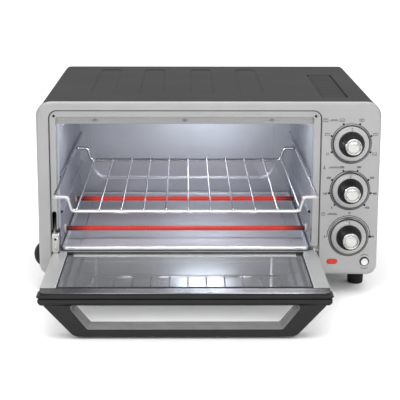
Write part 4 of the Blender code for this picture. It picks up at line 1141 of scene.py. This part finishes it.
def make_left_hinge():
    """Left arm: a folded channel with a domed top, its side lips, cross bar, rivet and pivot."""
    low, high = span("hinge_arm_left")
    x0, x1 = -0.1993, -0.1897
    middle = (x0 + x1) / 2
    front, back = low.y + 0.0009, high.y
    fold, shoulder = 0.0016, Z0 + 0.0490
    section = [(x0, back), (x0, front + fold)]
    section += arc((x0 + fold, front + fold), fold, 180, 270, 5)[1:]
    section += arc((x1 - fold, front + fold), fold, 270, 360, 5)
    section += [(x1, back)]
    levels = [(low.z, 1.0), (low.z + 0.004, 1.0), (shoulder, 1.0)]
    for degrees in (30, 50, 70, 84, 90):
        angle = math.radians(degrees)
        levels.append((shoulder + (high.z - shoulder) * math.sin(angle), math.cos(angle) * 0.62 + 0.38))
    rings = [[(middle + (x - middle) * (0.80 + 0.20 * share), back + (y - back) * share, z)
              for x, y in section] for z, share in levels]
    shell("hinge_channel_left", made(loft, rings, closed=False), "hinge", "door",
          ("hinge_arm_left",), 0.0009)
    rivet = [(0.0, 0.0010), (0.0012, 0.0009), (0.0020, 0.0004), (0.0022, 0.0)]
    bm = made(turned, rivet, facing(middle, front + 0.0002, Z0 + 0.0370), 20)
    for x in ((x0, x0 + 0.0013), (x1 - 0.0013, x1)):
        block(bm, x, (low.y, front + 0.0020), (low.z, shoulder), 0.0004)
    block(bm, (x0 + 0.001, x1 - 0.001), (low.y + 0.0003, front + 0.001),
          (low.z + 0.0050, low.z + 0.0064), 0.0003)
    piece("hinge_lips_left", bm, "hinge", "door")
    pivot = [(0.0, 0.0007), (0.0010, 0.0006), (0.0015, 0.0002), (0.0016, -0.0004), (0.0, -0.0004)]
    bm = made(turned, pivot, facing(middle, front, Z0 + 0.0485), 20)
    # The two black blocks at the foot of the channel's lips are painted shadow under the channel.
    for x in ((x0 - 0.0002, x0 + 0.0018), (x1 - 0.0018, x1 + 0.0002)):
        block(bm, x, (low.y - 0.0002, low.y + 0.0012), (low.z + 0.0001, low.z + 0.0016), 0.0003)
    piece("hinge_pivot_and_shadow_left", bm, "gasket", "door")


def make_right_hinge():
    """Right ear: a thin plate with a round end, its pin and the pin's head."""
    foot = span("hinge_arm_right")[0].z
    y, z = 0.0034, Z0 + 0.0319                     # the door's axis
    plate = (0.1350, 0.1364)
    outline = arc((y, z), 0.0040, -8, 188, 18) + [(y - 0.0046, foot), (y + 0.0040, foot)]
    bm = made(slab, outline, at_x, *plate, 0.0003)
    pin = [(0.0, 0.0096), (0.0009, 0.0096), (0.0011, 0.0094), (0.0011, 0.0), (0.0, 0.0)]
    turned(bm, pin, sideways(plate[0] + 0.0005, y, z, 1), 20)
    head = [(0.0, 0.0012), (0.0016, 0.0011), (0.0024, 0.0005), (0.0026, 0.0)]
    turned(bm, head, sideways(plate[0], y, z, -1), 20)
    piece("hinge_ear_right", bm, "hinge", "door", ("hinge_arm_right",))


# ---------------------------------------------------------------- controls
SKIRT = ((0.0150, 0.0046), (0.0176, 0.0046), (0.0196, 0.0041), (0.0210, 0.0037), (0.0219, 0.0031),
         (0.0223, 0.0024), (0.0223, 0.0008), (0.0221, 0.0006), (0.0034, 0.0006), (0.0034, 0.0044),
         (0.0150, 0.0046))
GRIP = ((0.0162, 0.0045), (0.0163, 0.0052), (0.0161, 0.0062), (0.0158, 0.0095), (0.0150, 0.0125),
        (0.0140, 0.0152), (0.0128, 0.0178), (0.0118, 0.0198), (0.0110, 0.0209), (0.0104, 0.0212))
STEM = ((0.0163, 0.0045), (0.0030, 0.0045), (0.0030, -0.0120), (0.0, -0.0120))
CAP = ((0.0, 0.0246), (0.0066, 0.0245), (0.0072, 0.0243), (0.0075, 0.0236), (0.0081, 0.0236),
       (0.0084, 0.0246), (0.0090, 0.0254), (0.0095, 0.0255), (0.0101, 0.0250), (0.0104, 0.0242),
       (0.0104, 0.0214), (0.0, 0.0214))
RIM = ((0.0230, 0.0001), (0.0233, 0.0009), (0.0240, 0.0013), (0.0247, 0.0009), (0.0252, 0.0001))
GRIP_FOOT, GRIP_TOP = 0.0055, GRIP[-1][1]
FLUTES, FLUTE_DEPTH, FLUTE_FADE = 24, 0.00035, 0.003


def fluted(place, sides=96):
    """Rings of the grip, whose finger flutes fade out at its foot and its top."""
    rings = []
    for radius, height in GRIP:
        depth = FLUTE_DEPTH * min(max((height - GRIP_FOOT) / FLUTE_FADE, 0.0), 1.0)
        depth *= min((GRIP_TOP - height) / FLUTE_FADE, 1.0)
        ring = []
        for k in range(sides):
            angle = 2 * math.pi * k / sides
            reach = radius - depth * (0.5 + 0.5 * math.cos(FLUTES * angle))
            ring.append(place @ Vector((reach * math.cos(angle), reach * math.sin(angle), height)))
        rings.append(ring)
    return rings


def make_knobs():
    """Knobs: brushed skirt with a pointer, black grip with finger flutes and a dished chrome cap."""
    for knob, (x, z) in KNOB_CENTRES.items():
        body = f"{knob}_knob"
        place = facing(x, 0.0, z)
        piece(f"{knob}_skirt", made(turned, SKIRT, place, 72), "skirt", body,
              (f"{knob}_knob_skirt",))
        bm = made(loft, fluted(place), cap_end=True)
        turned(bm, STEM, place, 96)
        piece(f"{knob}_grip", bm, "grip", body, (f"{knob}_knob_grip",), 40.0)
        piece(f"{knob}_cap", made(turned, CAP, place, 64), "knob_chrome", body,
              (f"{knob}_knob_cap",), 50.0)
        pointer = made(block, (x - 0.0006, x + 0.0006), (-0.0050, -0.0038), (z + 0.0172, z + 0.0212), 0.0002)
        piece(f"{knob}_pointer", pointer, "liner", body)
        # the raised ring is real; its darker silver is painted shade round the dial
        piece(f"{knob}_rim", made(turned, RIM, place, 72), "rim", "cabinet")


def make_lamp_and_button():
    """Red pill-shaped lens, and the round button in its collar."""
    low, high = span("indicator_lens")
    lamp = middle_of("indicator_lens")
    half, radius = (high.x - low.x) / 2, (high.z - low.z) / 2
    edge, crown = 0.0012, 0.0009
    rings = [at_y(pill((lamp.x, lamp.z), half, radius), high.y)]
    for i in range(7):
        angle = math.radians(15 * i)
        shrink = edge * (1 - math.cos(angle))
        outline = pill((lamp.x, lamp.z), half - shrink, radius - shrink)
        rings.append(at_y(outline, low.y + crown * (1 - math.sin(angle))))
    piece("lamp_lens", made(loft, rings, cap_start=True, cap_end=True), "lens", "cabinet",
          ("indicator_lens",))
    button = middle_of("reset_button")
    place = facing(button.x, 0.0, button.z)
    face = [(0.0, 0.0022), (0.0020, 0.0023), (0.0034, 0.0027), (0.0041, 0.0028), (0.0045, 0.0024),
            (0.0046, 0.0018), (0.0046, -0.0120), (0.0, -0.0120)]
    piece("button_cap", made(turned, face, place, 48), "button", "button", ("reset_button",))
    ring = [(0.0049, 0.0013), (0.0052, 0.0014), (0.0056, 0.0013), (0.0059, 0.0006), (0.0059, 0.0001),
            (0.0058, -0.0060), (0.0049, -0.0060), (0.0049, 0.0013)]
    piece("button_collar", made(turned, ring, place, 48), "grip", "cabinet",
          ("button_ring",))


INK_FACE = 0.00012       # how far printing stands out of the bezel


def flat_ring(bm, x, z, radius, width, start=0.0, end=360.0, steps=96):
    """Printed ring or arc about (x, z); angles are clockwise from the top."""
    count = max(int(steps * (end - start) / 360), 6)
    outer, inner = [], []
    for i in range(count + 1):
        angle = math.radians(start + (end - start) * i / count)
        for ring, r in ((outer, radius + width / 2), (inner, radius - width / 2)):
            ring.append(bm.verts.new((x + r * math.sin(angle), -INK_FACE, z + r * math.cos(angle))))
    for i in range(count):
        bm.faces.new((outer[i], outer[i + 1], inner[i + 1], inner[i]))


def dot(bm, x, z, radius):
    bm.faces.new([bm.verts.new(point) for point in at_y(circle((x, z), radius, 18), -INK_FACE)])


def bar(bm, x, z, width, height, lean=0.0):
    """Printed bar, centred on (x, z) and turned clockwise by lean degrees."""
    c, s = math.cos(math.radians(lean)), math.sin(math.radians(lean))
    u, v = width / 2, height / 2
    corners = ((-u, -v), (u, -v), (u, v), (-u, v))
    bm.faces.new([bm.verts.new((x + u * c + v * s, -INK_FACE, z - u * s + v * c)) for u, v in corners])


def flat_frame(bm, x, z, width, height, line=0.0004):
    """Printed outline of a rectangle."""
    for way in (-1, 1):
        bar(bm, x, z + way * height / 2, width, line)
        bar(bm, x + way * width / 2, z, line, height)


def label(bm, text, x, z, size):
    """Printed number, centred on (x, z)."""
    curve = bpy.data.curves.new("label", "FONT")
    curve.body = text
    curve.size = size
    curve.offset = 0.03 * size
    curve.align_x = "CENTER"
    curve.align_y = "CENTER"
    obj = in_scene("label", curve)
    bpy.context.view_layer.update()
    mesh = bpy.data.meshes.new_from_object(obj.evaluated_get(bpy.context.evaluated_depsgraph_get()))
    mesh.transform(Matrix.Translation((x, -INK_FACE, z)) @ Matrix.Rotation(math.radians(90), 4, "X"))
    bm.from_mesh(mesh)
    bpy.data.meshes.remove(mesh)
    bpy.data.objects.remove(obj, do_unlink=True)
    bpy.data.curves.remove(curve)


def around(x, z, radius, angle):
    """The point at a radius from (x, z), at an angle clockwise from the top."""
    return x + radius * math.sin(math.radians(angle)), z + radius * math.cos(math.radians(angle))


RING_RADIUS, DOT_RADIUS, TEXT_RADIUS = 0.0254, 0.0269, 0.0318      # printing round a knob
DOT = 0.0013                                                       # radius of a printed dot


def make_dial_marks():
    """Printed rings, dots, numbers and plain pictures round the knobs, and a dark ring at each skirt's edge
    that is painted shadow.
    """
    bm = bmesh.new()
    for x, z in KNOB_CENTRES.values():
        flat_ring(bm, x, z, RING_RADIUS, 0.0007)
        # painted shadow: a dark ring just outside the knob's skirt, for the shade at its edge
        flat_ring(bm, x, z, 0.0226, 0.0008)
    x, z = KNOB_CENTRES["function"]
    for index, angle in enumerate((-114, -68.5, -22.5, 22.5, 68.5, 114)):
        dot(bm, *around(x, z, DOT_RADIUS, angle), DOT)
        icon_x, icon_z = around(x, z, TEXT_RADIUS + 0.0006, angle)
        if index == 0:
            flat_ring(bm, icon_x, icon_z, 0.0015, 0.0005)
            continue
        flat_frame(bm, icon_x, icon_z, 0.0056, 0.0030)
        if index in (1, 3, 4):                     # heat from above
            bar(bm, icon_x, icon_z + 0.0007, 0.0036, 0.0004)
        if index in (2, 3, 5):                     # heat from below
            bar(bm, icon_x, icon_z - 0.0007, 0.0036, 0.0004)
    x, z = KNOB_CENTRES["temperature"]
    for number, angle in zip(("0", "150", "200", "250", "300", "350", "400", "450"),
                             (-135, -97.5, -59.3, -19.6, 19.6, 59.3, 97.5, 135)):
        dot(bm, *around(x, z, DOT_RADIUS, angle), DOT)
        label(bm, number, *around(x, z, TEXT_RADIUS, angle), 0.0036)
    x, z = KNOB_CENTRES["timer"]
    flat_ring(bm, x, z, DOT_RADIUS + 0.0006, 0.0008, -90, 90)
    for step in range(13):
        angle = -90 + 15 * step
        length = 0.0012 + 0.0008 * (step % 3 == 0)
        bar(bm, *around(x, z, DOT_RADIUS + 0.0014, angle), 0.0004, length, angle)
    dot(bm, *around(x, z, DOT_RADIUS + 0.0005, 90), 0.0016)
    for number, angle, gap in (("5", -90, 0.0010), ("15", 0, 0.0004), ("30", 90, 0.0010)):
        label(bm, number, *around(x, z, TEXT_RADIUS - gap, angle), 0.0034)
    piece("dial_print_and_skirt_shadow", bm, "ink", "cabinet")


def make_headings():
    """Plain pictures over each dial: oven, thermometer and clock, with a rule beside each."""
    bm = bmesh.new()
    left = KNOB_CENTRES["function"][0] - 0.0330
    heights = {knob: z + 0.0298 for knob, (x, z) in KNOB_CENTRES.items()}
    z = heights["function"]
    flat_frame(bm, left, z, 0.0060, 0.0042)
    bar(bm, left, z + 0.0010, 0.0040, 0.0005)
    bar(bm, left, z - 0.0010, 0.0040, 0.0005)
    z = heights["temperature"]
    flat_ring(bm, left, z - 0.0012, 0.0009, 0.0006)
    bar(bm, left, z + 0.0008, 0.0006, 0.0032)
    z = heights["timer"]
    flat_ring(bm, left, z, 0.0021, 0.0005)
    bar(bm, left, z + 0.0006, 0.0004, 0.0013)
    bar(bm, left + 0.0005, z, 0.0011, 0.0004)
    for knob, length in (("function", 0.0110), ("temperature", 0.0150), ("timer", 0.0130)):
        for row in range(2):
            bar(bm, left + 0.0052 + length / 2, heights[knob] + 0.0013 * (row - 0.5),
                length * (1 - 0.2 * row), 0.0006)
    button = middle_of("reset_button")
    for start, end in ((-32, 32), (150, 210)):
        flat_ring(bm, button.x, button.z, 0.0092, 0.0006, start, end)
    piece("panel_print", bm, "ink", "cabinet")


def make_door_bumpers():
    """Small rubber buttons on which the door closes."""
    for node in ("door_bumper_left", "door_bumper_right"):
        low, high = span(node)
        middle = middle_of(node)
        radius = (high.x - low.x) / 2
        profile = [(0.0, 0.0004), (radius * 0.6, 0.0003), (radius * 0.9, 0.0), (radius, -0.0005),
                   (radius, -0.0040), (0.0, -0.0040)]
        stud = made(turned, profile, facing(middle.x, RECESS_DEPTH, middle.z), 24)
        piece(f"{node}_button", stud, "rubber", "cabinet", (node,))


# ---------------------------------------------------------------- studio
def make_floor():
    """Plain pale floor that the oven stands on."""
    bm = bmesh.new()
    bmesh.ops.create_grid(bm, x_segments=2, y_segments=2, size=14.0)
    mesh = bpy.data.meshes.new("floor")
    bm.to_mesh(mesh)
    bm.free()
    floor = in_scene("floor", mesh)
    finish = Finish("pale_floor", (0.93, 0.93, 0.93), 0.70)
    finish.mottle(finish.noise(3.0, 2.0), (0.925, 0.925, 0.925), (0.935, 0.935, 0.935))
    mesh.materials.append(finish.material)


def area_light(name, place, target, size, power, colour=(1.0, 1.0, 1.0)):
    """Rectangular lamp at place, facing target, both in oven coordinates."""
    data = bpy.data.lights.new(name, "AREA")
    data.shape = "RECTANGLE"
    data.size, data.size_y = size
    data.energy = power
    data.color = colour
    lamp = in_scene(name, data, OVEN + Vector(place))
    direction = OVEN + Vector(target) - lamp.location
    lamp.rotation_euler = direction.to_track_quat("-Z", "Y").to_euler()


COOL = (0.93, 0.96, 1.0)
SKY = ((0.50, 0.22), (0.56, 0.42), (0.66, 0.86), (0.78, 1.0), (1.0, 1.0))    # 0.50 is the horizon


def make_light():
    """White surroundings that darken towards the horizon, soft lamps, and small lamps in the chamber."""
    world = bpy.data.worlds.new("studio")
    bpy.context.scene.world = world
    world.use_nodes = True
    tree = world.node_tree
    direction = add_node(tree, "ShaderNodeTexCoord").outputs["Generated"]
    up = add_node(tree, "ShaderNodeSeparateXYZ", Vector=direction).outputs["Z"]
    height = add_node(tree, "ShaderNodeMapRange", From_Min=-1.0, Value=up).outputs["Result"]
    sky = colour_ramp(tree, height, SKY)
    background = tree.nodes["Background"]
    tree.links.new(sky, background.inputs["Color"])
    background.inputs["Strength"].default_value = 1.22
    area_light("overhead", (0.0, 0.1, 1.8), (0.0, 0.0, 0.0), (2.6, 2.0), 24.0)
    area_light("key", (-1.3, -1.6, 1.4), (0.0, 0.0, 0.1), (1.2, 1.0), 7.0)
    area_light("fill", (1.6, -1.4, 1.0), (0.0, 0.0, 0.1), (1.2, 1.0), 4.0)
    area_light("low_front", (0.2, -2.3, 0.55), (0.0, -0.2, 0.0), (1.6, 0.5), 10.0)
    area_light("chamber_front", (-0.020, 0.028, 0.2150), (-0.020, 0.080, 0.06), (0.10, 0.03), 0.33, COOL)
    area_light("chamber_rear", (0.0, 0.245, 0.2175), (0.0, 0.33, 0.19), (0.08, 0.02), 0.26, COOL)
    area_light("under_door", (-0.029, -0.133, 0.0400), (-0.029, -0.128, 0.0), (0.25, 0.04), 0.055)
    for way, x in ((-1, -0.120), (1, 0.062)):
        area_light("chamber_side", (x, 0.040, 0.2150), (x + way * 0.07, 0.050, 0.165), (0.03, 0.05),
                   0.13, COOL)


CAMERA_PLACE = (-0.0291, -1.5393, 0.4889)
CAMERA_PITCH, CAMERA_YAW, CAMERA_ROLL = 76.62, -0.68, 0.15      # degrees
LENS = 112.5


def make_camera():
    """The photograph's camera."""
    data = bpy.data.cameras.new("camera")
    data.lens = LENS
    data.sensor_width = 36.0
    data.clip_end = 50.0
    camera = in_scene("camera", data, OVEN + Vector(CAMERA_PLACE))
    yaw, pitch, roll = (Matrix.Rotation(math.radians(angle), 3, axis) for angle, axis in
                        ((CAMERA_YAW, "Z"), (CAMERA_PITCH, "X"), (CAMERA_ROLL, "Z")))
    camera.rotation_euler = (yaw @ pitch @ roll).to_euler()
    bpy.context.scene.camera = camera
    bpy.context.scene.view_settings.view_transform = "Standard"


# ---------------------------------------------------------------- assembly
make_camera()
make_light()
make_floor()
paint_carried_nodes()
make_bezel()
make_seat_shadow_line()
make_wrap()
make_screws()
make_feet()
make_side_bumper()
make_inlet()
make_side_walls()
make_rear_wall()
make_ceiling()
make_tray()
make_heaters()
make_rack()
make_door_frames()
make_glass()
make_clips()
make_trim()
make_handle()
make_hinge_backs()
make_left_hinge()
make_right_hinge()
make_knobs()
make_lamp_and_button()
make_dial_marks()
make_headings()
make_door_bumpers()
